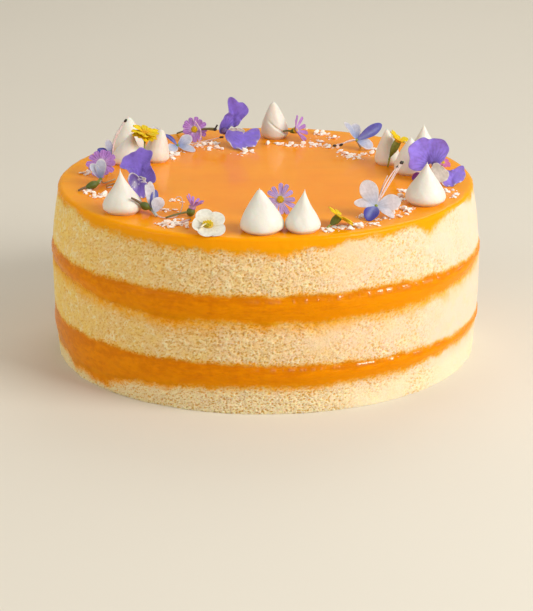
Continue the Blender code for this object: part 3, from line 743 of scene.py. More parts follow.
@dataclass(frozen=True)
class PetalFinish:
    """A thin petal: the mesh's own colours, fine lengthwise veins, light through it."""

    name: str
    glow: float = 0.25
    roughness: float = 0.5
    veins: float = 40.0
    sheen: float = 0.2

    def build(self) -> Material:
        """Make the material.

        Returns:
            The material.
        """
        g = NodeGraph(self.name)
        mottle = g.ranged(g.noise(500, 3), 0.3, 0.7, 0.86, 1.08)
        grey = g.add("ShaderNodeCombineColor")
        for channel in ("Red", "Green", "Blue"):
            g.feed(grey.inputs[channel], mottle)
        colour = g.mix(1.0, g.tint(), grey.outputs["Color"], "MULTIPLY")
        across = g.add("ShaderNodeUVMap").outputs["UV"]
        wave = g.add("ShaderNodeTexWave", Scale=self.veins, Distortion=1.2, Detail=2.0)
        g.feed(wave.inputs["Vector"], across)
        g.set(Base_Color=colour, Roughness=self.roughness, Sheen_Weight=self.sheen, Specular_IOR_Level=0.35)
        height = g.join("ADD", wave.outputs["Fac"], g.join("MULTIPLY", g.noise(1500, 3), 0.8))
        g.bump(height, 0.00012, 0.5)
        through = g.add("ShaderNodeBsdfTranslucent", Color=colour)
        both = g.add("ShaderNodeMixShader")
        both.inputs["Fac"].default_value = self.glow
        g.feed(both.inputs[1], g.shader.outputs["BSDF"])
        g.feed(both.inputs[2], through.outputs["BSDF"])
        g.feed(g.output.inputs["Surface"], both.outputs["Shader"])
        return g.material


@dataclass(frozen=True)
class PlantFinish:
    """Stems, calyxes, filaments, anthers and discs: the mesh's own colours, softly matt."""

    def build(self) -> Material:
        """Make the material.

        Returns:
            The material.
        """
        g = NodeGraph("stems_and_stamens")
        colour = g.mix(g.ranged(g.noise(900, 3), 0.3, 0.7, 0.0, 0.35), g.tint(), (0.02, 0.02, 0.0))
        g.set(Base_Color=colour, Roughness=0.55, Subsurface_Weight=0.1, Subsurface_Scale=0.001)
        g.bump(g.noise(2200, 3), 0.00015, 0.6)
        return g.material


@dataclass(frozen=True)
class StageFinish:
    """The plain pale floor."""

    colour: tuple = srgb(222, 217, 205)

    def build(self) -> Material:
        """Make the material.

        Returns:
            The material.
        """
        g = NodeGraph("pale_floor")
        shade = g.mix(g.ranged(g.noise(3, 2), 0.3, 0.7, 0.0, 0.25), self.colour, srgb(217, 212, 200))
        g.set(Base_Color=shade, Roughness=0.9)
        return g.material


# ---------------- the cake's own form
@dataclass(frozen=True)
class Band:
    """A band of curd or glaze: its lower and upper edges, the drips and how far it soaks.

    A drip is where it runs down: its angle from the front in degrees, its spread in
    degrees and its depth. The reach is how far juice goes under it, and the lower edge
    fades over twice the softness.
    """

    foot: Sequence[float]
    head: Sequence[float]
    drips: Sequence[tuple[float, float, float]]
    reach: float
    soft: float = 1.1

    def cover(self, turn: Array, height: Array, stray: Array, thirst: Array) -> tuple[Array, Array, Array]:
        """How the band covers the side, each drip lowering its foot as a bell curve.

        The distance inside each edge, moved by the stray, which counts for less at the
        upper one, becomes the cover: across 2.2 mm at the upper edge, and across twice
        the softness at the lower one. Juice goes on outside, fading as a bell curve of
        the distance: far under the lower edge, and not so far over the upper one.

        Args:
            turn: Turns from the front.
            height: Millimetres above the floor.
            stray: Millimetres by which each place lies deeper in the band.
            thirst: How far juice goes there, as a share of the usual.

        Returns:
            Cover from 0 to 1, juice from 0 to 1, and the place between the edges from 0
            at the lower one to 1.
        """
        low, high = closed_curve(self.foot, turn), closed_curve(self.head, turn)
        for angle, spread, depth in self.drips:
            away = (np.mod(turn * 360 - angle + 180, 360) - 180) / spread
            low = low - depth * np.exp(-away * away)
        under, over = height - low + stray, high - height + 0.7 * stray
        cover = smoothstep(-self.soft, self.soft, under) * smoothstep(-1.1, 1.1, over)
        past = np.maximum(np.maximum(-under, 0) / (self.reach * thirst), np.maximum(-over, 0) / 1.6)
        return cover, np.exp(-1.6 * past**2), np.clip((height - low) / (high - low), 0, 1)


@dataclass(frozen=True)
class CakeForm:
    """Outline of the cake's side, and the edges of its layers round the side.

    The edges are heights at even steps round the side, from the front to the right. The
    glaze's upper edge, the top, is one that no side reaches. Inside the rim band, a share
    of the radius, layers are level. The pore steps are usual distances between pores.
    """

    height: float = 92.7
    radius_foot: float = 113.0
    radius_belly: float = 115.5
    radius_top: float = 111.0
    belly: float = 45.0
    rim_band: float = 0.84
    pore_step: float = 1.3
    small_pore_step: float = 0.8
    floor: Sequence[float] = (0.0,)
    top: Sequence[float] = (400.0,)
    curd_lower_foot: Sequence[float] = (15, 15.5, 18, 20, 17, 14, 13, 14, 13, 11, 7.5, 12.5)
    curd_lower_head: Sequence[float] = (27, 25.5, 24.5, 25, 26, 27, 26, 25.5, 26, 27, 27, 27)
    curd_upper_foot: Sequence[float] = (49, 49.5, 52.5, 56, 52, 50, 50, 51, 53, 55, 52.5, 50)
    curd_upper_head: Sequence[float] = (63.5, 63.5, 61.5, 60.5, 62, 64, 64, 63.5, 63, 63, 63, 63.5)
    glaze_foot: Sequence[float] = (86, 89, 89.7, 89.3, 88.5, 88, 88.5, 88, 89, 89.5, 89, 87)

    def side_radius(self, height: Array) -> Array:
        """Radius of the side: widest at the belly, drawn in towards foot and top.

        Args:
            height: Millimetres above the floor.

        Returns:
            The radius there.
        """
        below = np.clip((self.belly - height) / self.belly, 0, 1)
        above = np.clip((height - self.belly) / (self.height - self.belly), 0, 1)
        radius = self.radius_belly - (self.radius_belly - self.radius_foot) * below**2
        return radius - (self.radius_belly - self.radius_top) * above**2.2

    def bands(self) -> tuple[Band, Band, Band]:
        """The lower curd, the upper curd and the glaze, with their drips.

        Returns:
            The three bands.
        """
        lower_drips = ((-50, 11, 4.6), (-63, 2.4, 2.2), (-30, 5, 1.0), (12, 4, 1.2), (40, 5, 0.9))
        upper_drips = ((-27, 6, 2.6), (-24, 2, 1.0), (0, 2.4, 1.3), (-45, 7, 1.2), (33, 6, 0.7))
        glaze_drips = ((4.5, 3.2, 3.6), (-50, 8, 1.4), (-31, 4, 0.9), (17, 3, 1.2), (41.5, 3, -0.9),
                       (49, 3.8, 3.8), (66, 9, -1.8), (-64, 7, -2.2), (29, 4, -1.0))
        return (
            Band(self.curd_lower_foot, self.curd_lower_head, lower_drips, reach=2.6, soft=1.7),
            Band(self.curd_upper_foot, self.curd_upper_head, upper_drips, reach=5.5, soft=1.8),
            Band(self.glaze_foot, self.top, glaze_drips, reach=2.6),
        )

    def place(self, turn: Array, height: Array) -> Array:
        """Points on the smooth side, for noise that closes on itself.

        Args:
            turn: Turns from the front.
            height: Millimetres above the floor.

        Returns:
            The points.
        """
        angle = turn * TAU
        radius = self.side_radius(height)
        return np.stack([radius * np.sin(angle), -radius * np.cos(angle), height], -1)

    def openness(self, turn: Array, spot: Array) -> Array:
        """How open the crumb is: the larger of two cosines, moved by slow noise.

        One peaks a little left of the front, and a lower one behind. At the right, where
        the knife smeared the crumb, it is shut.

        Args:
            turn: Turns from the front.
            spot: Points on the smooth side.

        Returns:
            The openness, from 0 to 1.
        """
        front = 0.8 * np.cos(turn * TAU + 0.55)
        back = -0.6 * np.cos(turn * TAU + 0.2)
        return smoothstep(-0.05, 0.6, np.maximum(front, back) + 0.6 * Noise.layered(spot / 20.0, 2, 61))

    def pores(self, turn: Array, height: Array, spot: Array) -> Array:
        """Depth of the pores: large ones, and small ones about half as deep between them.

        Args:
            turn: Turns from the front.
            height: Millimetres above the floor.
            spot: Points on the smooth side.

        Returns:
            The depth, from 0 to 1.
        """
        drift = 0.55 * Noise.layered(spot / 2.6, 2, 31)
        around = TAU * self.radius_belly
        cells, small_cells = round(around / self.pore_step), round(around / self.small_pore_step)
        large = Noise.pores(turn * cells + drift, height / 1.15 + drift, cells, 40, 0.08, 0.6)
        small = Noise.pores(turn * small_cells - drift, height / 0.72, small_cells, 50, 0.12, 0.5)
        return np.clip(np.maximum(0.9 * large, 0.5 * small), 0, 1)

    def gel(self, turn: Array, spot: Array, level: Array) -> tuple[Array, Array]:
        """Form of the curd.

        It swells between its edges as a squared sine, in low level streaks, with a
        narrow lip under its upper edge, a bell curve 2.3 mm down, that breaks into beads
        from the front round to the right.

        Args:
            turn: Turns from the front.
            spot: Points on the smooth side.
            level: Place between the curd's edges, from 0 at the lower one to 1.

        Returns:
            Millimetres outwards, and how much of a bead each place is, from 0 to 1.
        """
        flat = spot * np.array([0.3, 0.3, 1.0])
        swell = 0.8 * np.sin(math.pi * level) ** 2 + 0.26 * Noise.layered(flat / 2.6, 4, 90)
        lip = np.exp(-((((1 - level) * 12.5 - 2.3) / 0.8) ** 2))
        lit = smoothstep(-0.12, 0.08, np.sin(turn * TAU)) * smoothstep(-0.1, 0.3, np.cos(turn * TAU))
        beads = lit * smoothstep(-0.1, 0.4, Noise.layered(spot / np.array([2.0, 2.0, 9.0]), 2, 130))
        return swell + lip * (0.06 + 0.42 * beads), lip * beads

    def relief(self, turn: Array, height: Array) -> tuple[Array, dict[str, Array]]:
        """Height of the surface over the smooth side, and the marks for its finish.

        Pores of two sizes dig into the crumb, and fine noise roughens the walls between
        them. Curd and glaze fill the pores first, so a pore lies deeper in a band than a
        ridge does. Their edges stray by noise, most at the left of the lower curd.

        Args:
            turn: Turns from the front, towards the right-hand side.
            height: Millimetres above the floor.

        Returns:
            Millimetres outwards, and the marks.
        """
        spot = self.place(turn, height)
        openness = self.openness(turn, spot)
        pore = self.pores(turn, height, spot) * (0.08 + openness)
        stray = 1.7 * Noise.layered(spot / 7.0, 3, 5) + 0.9 * Noise.layered(spot / 1.5, 2, 9)
        stray = stray + 2.2 * (pore - 0.3)
        thirst = 1 + 0.75 * Noise.layered(spot / 11.0, 2, 15)
        runs = 1.5 * Noise.layered(spot / np.array([7.0, 7.0, 30.0]), 3, 17)
        left = smoothstep(0.2, 0.8, -np.sin(turn * TAU))
        strays = (stray + (0.6 + 0.9 * left) * runs, stray + 0.6 * runs, stray + runs)
        covers = (band.cover(turn, height, moved, thirst) for band, moved in zip(self.bands(), strays))
        (lower, lower_juice, lower_level), (upper, upper_juice, upper_level), (icing, icing_juice, _) = covers
        curd = np.maximum(lower, upper)
        soak = np.max([lower_juice, upper_juice, icing_juice], axis=0)
        between = 0.5 * (self.curd_lower_head[0] + self.curd_upper_foot[0])
        level = np.where(height < between, lower_level, upper_level)
        grit = 0.24 * Noise.layered(spot / 0.95, 2, 70) + 0.2 * Noise.layered(spot / 2.4, 2, 75)
        crumb = grit * (0.4 + 0.8 * openness) + 0.4 * Noise.layered(spot / 10.0, 2, 80) - 0.74 * pore
        gel, glint = self.gel(turn, spot, level)
        film = 0.3 + 0.18 * Noise.layered(spot / 3.0, 2, 97)
        out = crumb * (1 - curd) + gel * curd
        marks = {
            # Depth of the pores, which also paints shade in them.
            "pore": pore * (1 - np.maximum(curd, icing)),
            "curd": curd,
            "soak": soak,
            "icing": icing,
            "rim": icing,
            "level": level,
            # Painted shade on the left side, away from the key light, with some dampness: it deepens the
            # crumb and the curd there.
            "damp_and_shade": 0.45 - 0.5 * np.sin(turn * TAU),
            # Where raised crumb gets a painted highlight.
            "lit_ridge": smoothstep(-0.02, 0.18, grit) * openness,
            # How near the floor a place is, for the painted light that makes the crumb paler there.
            "low": smoothstep(17.0, 8.0, height),
            "glint": glint,
        }
        return out * (1 - icing) + film * icing, marks


FORM = CakeForm()


def ring(turn: Array, radius: Array, height: Array) -> Array:
    """Points at a radius and a height round the axis."""
    angle = turn * TAU
    return np.stack(np.broadcast_arrays(radius * np.sin(angle), -radius * np.cos(angle), height), -1)


@dataclass
class CakeLayer:
    """One layer of the side: a closed disc whose rim carries the real relief.

    The foot and the head are the heights of its edges round the side, and the step is the
    height between rows of its rim.
    """

    node: str
    foot: Sequence[float]
    head: Sequence[float]
    slot: Slot
    columns: int = 1600
    step: float = 0.45
    most_rows: int = 58

    def build(self, material: Material) -> Piece:
        """Make the layer.

        Rows of the rim run evenly from the lower edge to the upper one, at the radius of
        the smooth side plus the relief. The relief is the same for every layer, so that
        neighbours meet along one line. Inside the rim band the disc is level.

        Args:
            material: Its finish.

        Returns:
            The layer.
        """
        turn = np.arange(self.columns) / self.columns
        low, high = closed_curve(self.foot, turn), closed_curve(self.head, turn)
        rows = min(self.most_rows, max(8, round(float((high - low).max()) / self.step)))
        height = low + (high - low) * np.linspace(0, 1, rows)[:, None]
        relief, marks = FORM.relief(np.broadcast_to(turn, height.shape), height)
        rim = ring(turn, FORM.side_radius(height) + relief, height)
        foot, head = (
            ring(turn, np.full(self.columns, FORM.rim_band * FORM.radius_belly), float(np.mean(edge)))[None]
            for edge in (self.foot, self.head)
        )
        padded = {name: np.concatenate([m[:1], m, m[-1:]]) for name, m in marks.items()}
        shell = Shell()
        shell.grid(np.concatenate([foot, rim, head]), wrap=True, capped=True, **padded)
        creases = ((self.columns, 2 * self.columns), (rows * self.columns, (rows + 1) * self.columns))
        return settle(shell.build(self.node + "_look", material, creases=creases), self.slot, self.node)


@dataclass
class Glaze:
    """The mirror glaze: a shallow disc with a soft shoulder and a ragged lower edge.

    The shoulder falls by the drop, and the top begins inside the side by the inset.
    """

    columns: int = 1600
    drop: float = 2.0
    inset: float = 2.7
    side_rows: int = 12
    shoulder_rows: int = 8

    def build(self, material: Material) -> Piece:
        """Make the glaze.

        The section runs in under the disc, out to the lower edge, up the side with the
        side's own relief, round a quarter of an ellipse at the shoulder, and in over the
        top, which has faint level waves and sways a little at the rim. The rim mark fades
        over the outer tenth.

        Args:
            material: Its finish.

        Returns:
            The glaze.
        """
        turn = np.arange(self.columns) / self.columns
        foot = closed_curve(FORM.glaze_foot, turn)
        start = FORM.height - self.drop
        height = foot + (start - foot) * np.linspace(0, 1, self.side_rows)[:, None]
        relief, marks = FORM.relief(np.broadcast_to(turn, height.shape), height)
        side = ring(turn, FORM.side_radius(height) + relief, height)
        edge = FORM.side_radius(height[-1]) + relief[-1]
        angle = np.linspace(0, 0.5 * math.pi, self.shoulder_rows + 1)[1:, None]
        sway = 0.3 * Noise.layered(ring(turn, FORM.radius_top, 0.0) / 11.0, 3, 210)
        round_over = start + (self.drop + sway) * np.sin(angle)
        shoulder = ring(turn, edge - self.inset * (1 - np.cos(angle)), round_over)
        share = np.concatenate([np.linspace(0.992, 0.9, 12), np.linspace(0.87, 0.04, 22)])[:, None]
        top = ring(turn, (edge - self.inset) * share, np.full((len(share), self.columns), FORM.height))
        wave = 0.09 * Noise.layered(top * np.array([0.35, 1.5, 1.0]) / 13.0, 2, 220)
        top[..., 2] += wave * smoothstep(1.0, 0.93, share) + sway * smoothstep(0.93, 0.995, share)
        inner = np.full(self.columns, FORM.rim_band * FORM.radius_belly)
        under = ring(turn, inner, float(np.mean(FORM.glaze_foot)))
        cover = marks["icing"][-1]
        rounded = cover + (1 - cover) * smoothstep(0.1, 0.6, np.sin(angle))
        near = 0.9 * smoothstep(0.88, 1.0, share) * (1 + 0.35 * Noise.layered(top / 9.0, 2, 230))
        near = np.clip(near, 0, 1)
        whole = {"icing": (rounded, 1.0), "rim": (rounded, near), "soak": (1.0, 1.0), "damp_and_shade": (0.5, 0.5)}
        padded = {}
        for name, mark in marks.items():
            on_shoulder, on_top = whole.get(name, (0.0, 0.0))
            on_shoulder = np.broadcast_to(on_shoulder, shoulder.shape[:2])
            on_top = np.broadcast_to(on_top, top.shape[:2])
            padded[name] = np.concatenate([mark[:1], mark, on_shoulder, on_top])
        shell = Shell()
        shell.grid(np.concatenate([under[None], side, shoulder, top]), wrap=True, capped=True, **padded)
        creases = ((self.columns, 2 * self.columns),)
        return settle(shell.build("glaze_look", material, creases=creases), Slot.GLAZE, "glaze")


def settle(piece: Piece, slot: Slot, *nodes: str) -> Piece:
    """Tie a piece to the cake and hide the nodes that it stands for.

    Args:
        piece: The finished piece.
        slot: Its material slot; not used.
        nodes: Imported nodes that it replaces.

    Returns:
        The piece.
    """
    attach(piece, "root")
    if nodes:
        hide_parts(*nodes)
    log.info("%s: %d faces", piece.name, len(piece.data.polygons))
    return piece


# ---------------- meringues
@dataclass
class Kiss:
    """A piped meringue kiss: a soft drop drawn up to a leaning tip.

    Its radius is the smaller of a dome round the widest ring and a cone to the tip,
    softly blended. Low noise makes it uneven, and a faint spiral is left by the nozzle.
    A crease is a groove along a slanting line, with the meringue swollen under it.

    A taper over 1 makes it hollow towards the tip, and one under 1 full. The crease's
    depth is a share of the radius.
    """

    node: str
    x: float
    y: float
    radius: float
    height: float
    taper: float
    lean_x: float
    lean_y: float
    crease: float = 0.0
    rows: int = 72
    cols: int = 96

    def profile(self, rise: Array) -> Array:
        """Share of the widest radius at a share of the height.

        Args:
            rise: Shares of the height.

        Returns:
            The share of the radius at each.
        """
        spread = np.where(rise < 0.2, 0.36, 0.75)
        dome = np.sqrt(np.maximum(1 - ((rise - 0.2) / spread) ** 2, 1e-6))
        cone = 1.08 * (np.maximum(1 - rise, 1e-6) / 0.8) ** self.taper
        return (cone**-8 + dome**-8) ** -0.125 / (1.08**-8 + 1) ** -0.125

    def build(self, material: Material) -> Piece:
        """Make the kiss.

        Args:
            material: Its finish.

        Returns:
            The kiss.
        """
        rise = np.linspace(0, 1, self.rows)[:, None] ** 1.1
        angle = np.arange(self.cols)[None] * TAU / self.cols
        foot = smoothstep(0.0, 0.09, rise) * 0.1 + 0.9
        radius = self.radius * self.profile(rise) * foot
        radius = np.maximum(radius, 0.22 * (1 - smoothstep(0.97, 1.0, rise)))
        skin = np.stack(np.broadcast_arrays(np.cos(angle), np.sin(angle), 2.2 * rise), -1)
        salt = int(abs(self.x * 7 + self.y * 3))
        uneven = 0.055 * Noise.layered(skin * 1.3 + salt, 2, salt)
        uneven = uneven + 0.012 * np.sin(3 * angle + 7 * rise + salt)
        uneven = uneven + 0.012 * Noise.layered(skin * 5.0 + salt, 2, salt + 3)
        radius = radius * (1 + uneven - self.crease * self.fold(angle, rise))
        x = self.x + radius * np.cos(angle) + self.lean_x * rise**2
        y = self.y + radius * np.sin(angle) + self.lean_y * rise**2
        z = FORM.height + 0.02 + self.height * rise
        shell = Shell()
        shell.grid(np.stack(np.broadcast_arrays(x, y, z), -1), wrap=True, capped=True)
        return settle(shell.build(self.node + "_look", material), Slot.MERINGUE, self.node)

    def fold(self, angle: Array, rise: Array) -> Array:
        """Form of a crease of depth 1.

        Across the slanting line it is a narrow bell curve, and under the line a swelling
        that starts softly and dies away. Both fade towards the sides.

        Args:
            angle: Bearings round the kiss.
            rise: Shares of its height.

        Returns:
            Share of the radius that is taken away.
        """
        below = 0.36 - 0.25 * np.cos(angle) - rise
        near = np.exp(-(((np.mod(angle + 1.25 + math.pi, TAU) - math.pi) / 0.8) ** 4))
        groove = np.exp(-((below / 0.028) ** 2))
        swelling = 0.7 * smoothstep(0.0, 0.05, below) * np.exp(-np.maximum(below, 0) / 0.12)
        return near * (groove - swelling)


KISSES = (
    Kiss("meringue_front_left", -73.3, -63.2, 10.0, 23.0, 1.5, -1.0, 0.0),
    Kiss("meringue_front_centre", -1.9, -98.0, 10.9, 22.3, 0.95, -1.2, 0.0),
    Kiss("meringue_front_right", 18.4, -97.8, 8.7, 21.5, 1.3, 1.2, 0.0),
    Kiss("meringue_right", 82.9, -48.7, 10.4, 21.9, 1.15, 0.8, 0.0),
    Kiss("meringue_back_right_inner", 67.1, 29.5, 6.9, 20.0, 0.85, -0.4, 0.0),
    Kiss("meringue_back_right_middle", 78.4, 10.0, 8.8, 20.0, 0.9, 0.4, 0.5),
    Kiss("meringue_back_right_outer", 86.9, 28.6, 8.8, 22.4, 1.1, 0.0, 0.0),
    Kiss("meringue_back_centre", 5.3, 88.2, 7.8, 21.4, 0.75, -0.6, 0.0, crease=0.11),
    Kiss("meringue_back_left_outer", -76.8, 58.0, 9.5, 20.3, 0.8, 0.4, 0.0),
    Kiss("meringue_back_left_middle", -76.5, 32.5, 8.2, 16.9, 0.95, 3.4, 2.0),
    Kiss("meringue_back_left_inner", -60.3, 37.0, 7.1, 18.4, 0.62, 3.0, 0.0),
)


# ---------------- blossoms
GOLDEN_ANGLE = 2.39996
MIDDLE = (0.0, 0.0, 0.0)
GLAZE_GAP = 0.15


class Tone:
    """Colours of the blossoms."""

    VIOLET = srgb(126, 98, 204)
    VIOLET_CLEAR = srgb(134, 108, 222)
    VIOLET_BRIGHT = srgb(154, 130, 240)
    VIOLET_DEEP = srgb(92, 64, 160)
    VIOLET_LIGHT = srgb(160, 138, 220)
    PLUM = srgb(150, 60, 160)
    LIP = srgb(220, 210, 200)
    THROAT = srgb(250, 214, 90)
    PALE = srgb(224, 232, 252)
    PALE_BLUE = srgb(178, 200, 250)
    RIM = srgb(250, 250, 252)
    DARK = srgb(92, 88, 204)
    DARK_FOOT = srgb(152, 156, 234)
    DARK_STRIPE = srgb(168, 180, 236)
    LILAC = srgb(218, 190, 252)
    MAGENTA = srgb(214, 158, 244)
    PINK = srgb(236, 132, 206)
    PALEST = srgb(246, 243, 250)
    YELLOW = srgb(255, 222, 6)
    YELLOW_DEEP = srgb(255, 190, 0)
    WHITE = srgb(255, 253, 240)
    GREEN = srgb(104, 118, 34)
    GREEN_LIGHT = srgb(150, 164, 62)
    BROWN = srgb(122, 96, 66)
    TWIG = srgb(206, 172, 120)
    TWIG_ROSY = srgb(206, 178, 176)
    CALYX = srgb(74, 92, 26)
    ANTHER = srgb(44, 28, 26)
    FILAMENT = srgb(246, 224, 222)
    DISC = srgb(240, 204, 24)


def square(across: int, along: int) -> tuple[Array, Array]:
    """Two coordinates from -1 to 1 over a grid, rows along and columns across."""
    s, t = np.meshgrid(np.linspace(-1, 1, across), np.linspace(-1, 1, along))
    return s, t


def disc_points(s: Array, t: Array) -> tuple[Array, Array]:
    """A square's points moved into the unit disc, by the elliptical mapping."""
    return s * np.sqrt(1 - t * t / 2), t * np.sqrt(1 - s * s / 2)


@dataclass(frozen=True)
class Petal:
    """An ovate petal from base to tip, with cupped sides, a waved edge and a soft arch.

    Its width grows from the neck as a sine of its length, and its depth with the square
    of the place across; the edge waves with the sine of the place along.

    Places are measured from the blossom's middle. The neck, the cup and the wave are
    shares of the width, and the arch is one of the length.
    """

    tip: Point
    width: float
    facing: Point
    cup: float
    base: Point = MIDDLE
    neck: float = 0.35
    arch: float = 0.05
    wave: float = 0.03

    def surface(self, across: int, along: int) -> tuple[Array, Array, Array]:
        """Work the petal out.

        Args:
            across: Points across it.
            along: Points along it.

        Returns:
            Its points, the place across from -1 to 1 and the place along from 0 to 1.
        """
        base, tip = np.asarray(self.base, float), np.asarray(self.tip, float)
        length = float(np.linalg.norm(tip - base))
        axis = (tip - base) / length
        front = np.asarray(self.facing, float)
        front = unit(front - front.dot(axis) * axis)
        side = np.cross(axis, front)
        a, b = disc_points(*square(across, along))
        u = 0.5 * (b + 1)
        taper = self.neck + (1 - self.neck) * np.sin(0.5 * math.pi * np.minimum(1.35 * u, 1.0))
        wide = a * taper
        x = 0.5 * self.width * wide
        z = self.cup * self.width * wide**2 + self.arch * length * np.sin(math.pi * u)
        z = z + self.wave * self.width * wide**2 * np.sin(9 * u + 2.5 * np.sign(a) + self.width)
        points = base + side * x[..., None] + axis * (length * u)[..., None] + front * z[..., None]
        return points, a, u


@dataclass(frozen=True)
class Lobe:
    """One narrow petal of a ring: its bearing, length and rise from flat, in radians."""

    bearing: float
    length: float
    lift: float


def ring_of_lobes(name: str, count: int, length: float, fold: float) -> list[Lobe]:
    """Every petal of a ring, each a little its own way, seeded by the flower's name.

    Args:
        name: The seed.
        count: Number of petals.
        length: Their usual length.
        fold: Their usual rise from flat, in degrees.

    Returns:
        The petals, at nearly even bearings.
    """
    draw = random.Random(name)
    return [
        Lobe(
            TAU * (i + draw.uniform(-0.12, 0.12)) / count,
            length * draw.uniform(0.88, 1.05),
            math.radians(fold + draw.uniform(-7, 7)),
        )
        for i in range(count)
    ]


@dataclass
class Flower:
    """A blossom: petals in one thin piece, and stems, discs and stamens in another.

    Its centre is measured from the middle of the glaze's top.
    """

    node: str
    centre: Point
    slot = Slot.PALE
    thick = 0.24
    petal_steps = (24, 36)

    def __post_init__(self) -> None:
        """Start with no surface, and with random draws of the flower's own."""
        self.middle = np.array(self.centre, float)
        self.petals = Shell()
        self.solids = Shell()
        self.draw = random.Random(self.node + " detail")

    def form(self) -> None:
        """Add every surface of the blossom, each kind its own way."""
        raise NotImplementedError

    def lift(self, grid: Array) -> Array:
        """Measure a surface from the floor instead of from the glaze."""
        return grid + np.array([0.0, 0.0, FORM.height])

    def petal(self, petal: Petal, inner: Point, outer: Point, rim: Point | None = None,
              stripe: Point | None = None) -> None:
        """Add an ovate petal, coloured from its base to its tip.

        Args:
            petal: Its form.
            inner: Colour at its base.
            outer: Colour at its tip.
            rim: Colour of its edge.
            stripe: Colour of a soft stripe along it.
        """
        points, a, u = petal.surface(*self.petal_steps)
        tint = blend(inner, outer, smoothstep(0.0, 0.7, u))
        streak = 0.5 + 0.5 * np.cos(a * 17 + 3 * np.sin(u * 3))
        tint = tint * (1 - 0.1 * (streak * (1 - u))[..., None])
        if stripe is not None:
            tint = blend(tint, stripe, 0.75 * np.exp(-(((a - 0.25) / 0.3) ** 2)) * smoothstep(1.0, 0.7, u))
        if rim is not None:
            s, t = square(*self.petal_steps)
            tint = blend(tint, rim, 0.85 * smoothstep(0.72, 0.97, np.maximum(abs(s), t)))
        self.petals.grid(self.lift(points + self.middle), tint)

    def solid(self, rings: Array, tint: Point | Array) -> None:
        """Add a closed round piece given as rings."""
        self.solids.grid(self.lift(rings), tint, wrap=True, capped=True)

    def stalk(self, path: Array, thick: float, thin: float, tint: Point, sides: int = 10) -> None:
        """Add a stem or a filament along a path, its radius changing evenly."""
        self.solid(tube(path, np.linspace(thick, thin, len(path)), sides), tint)

    def build(self, petal_look: Material, plant_look: Material) -> None:
        """Form the flower, let it down onto the glaze and make its two pieces.

        Args:
            petal_look: Finish of its petals.
            plant_look: Finish of the rest.
        """
        self.form()
        lowest = min(float(part[:, 2].min()) for part in self.petals.points + self.solids.points)
        drop = lowest - FORM.height - GLAZE_GAP
        for store in (self.petals, self.solids):
            store.points = [part - np.array([0.0, 0.0, drop]) for part in store.points]
        piece = self.petals.build(self.node + "_petals", petal_look)
        wall = piece.modifiers.new("thickness", "SOLIDIFY")
        wall.thickness = self.thick * MM
        wall.offset = 0
        settle(piece, self.slot, self.node)
        if self.solids.count:
            settle(self.solids.build(self.node + "_stems", plant_look), self.slot)


@dataclass(frozen=True)
class Calyx:
    """A green spindle behind a blossom, and the stem it was picked with.

    Both places are measured from the blossom's middle.
    """

    middle: Point
    stem_tip: Point
    length: float


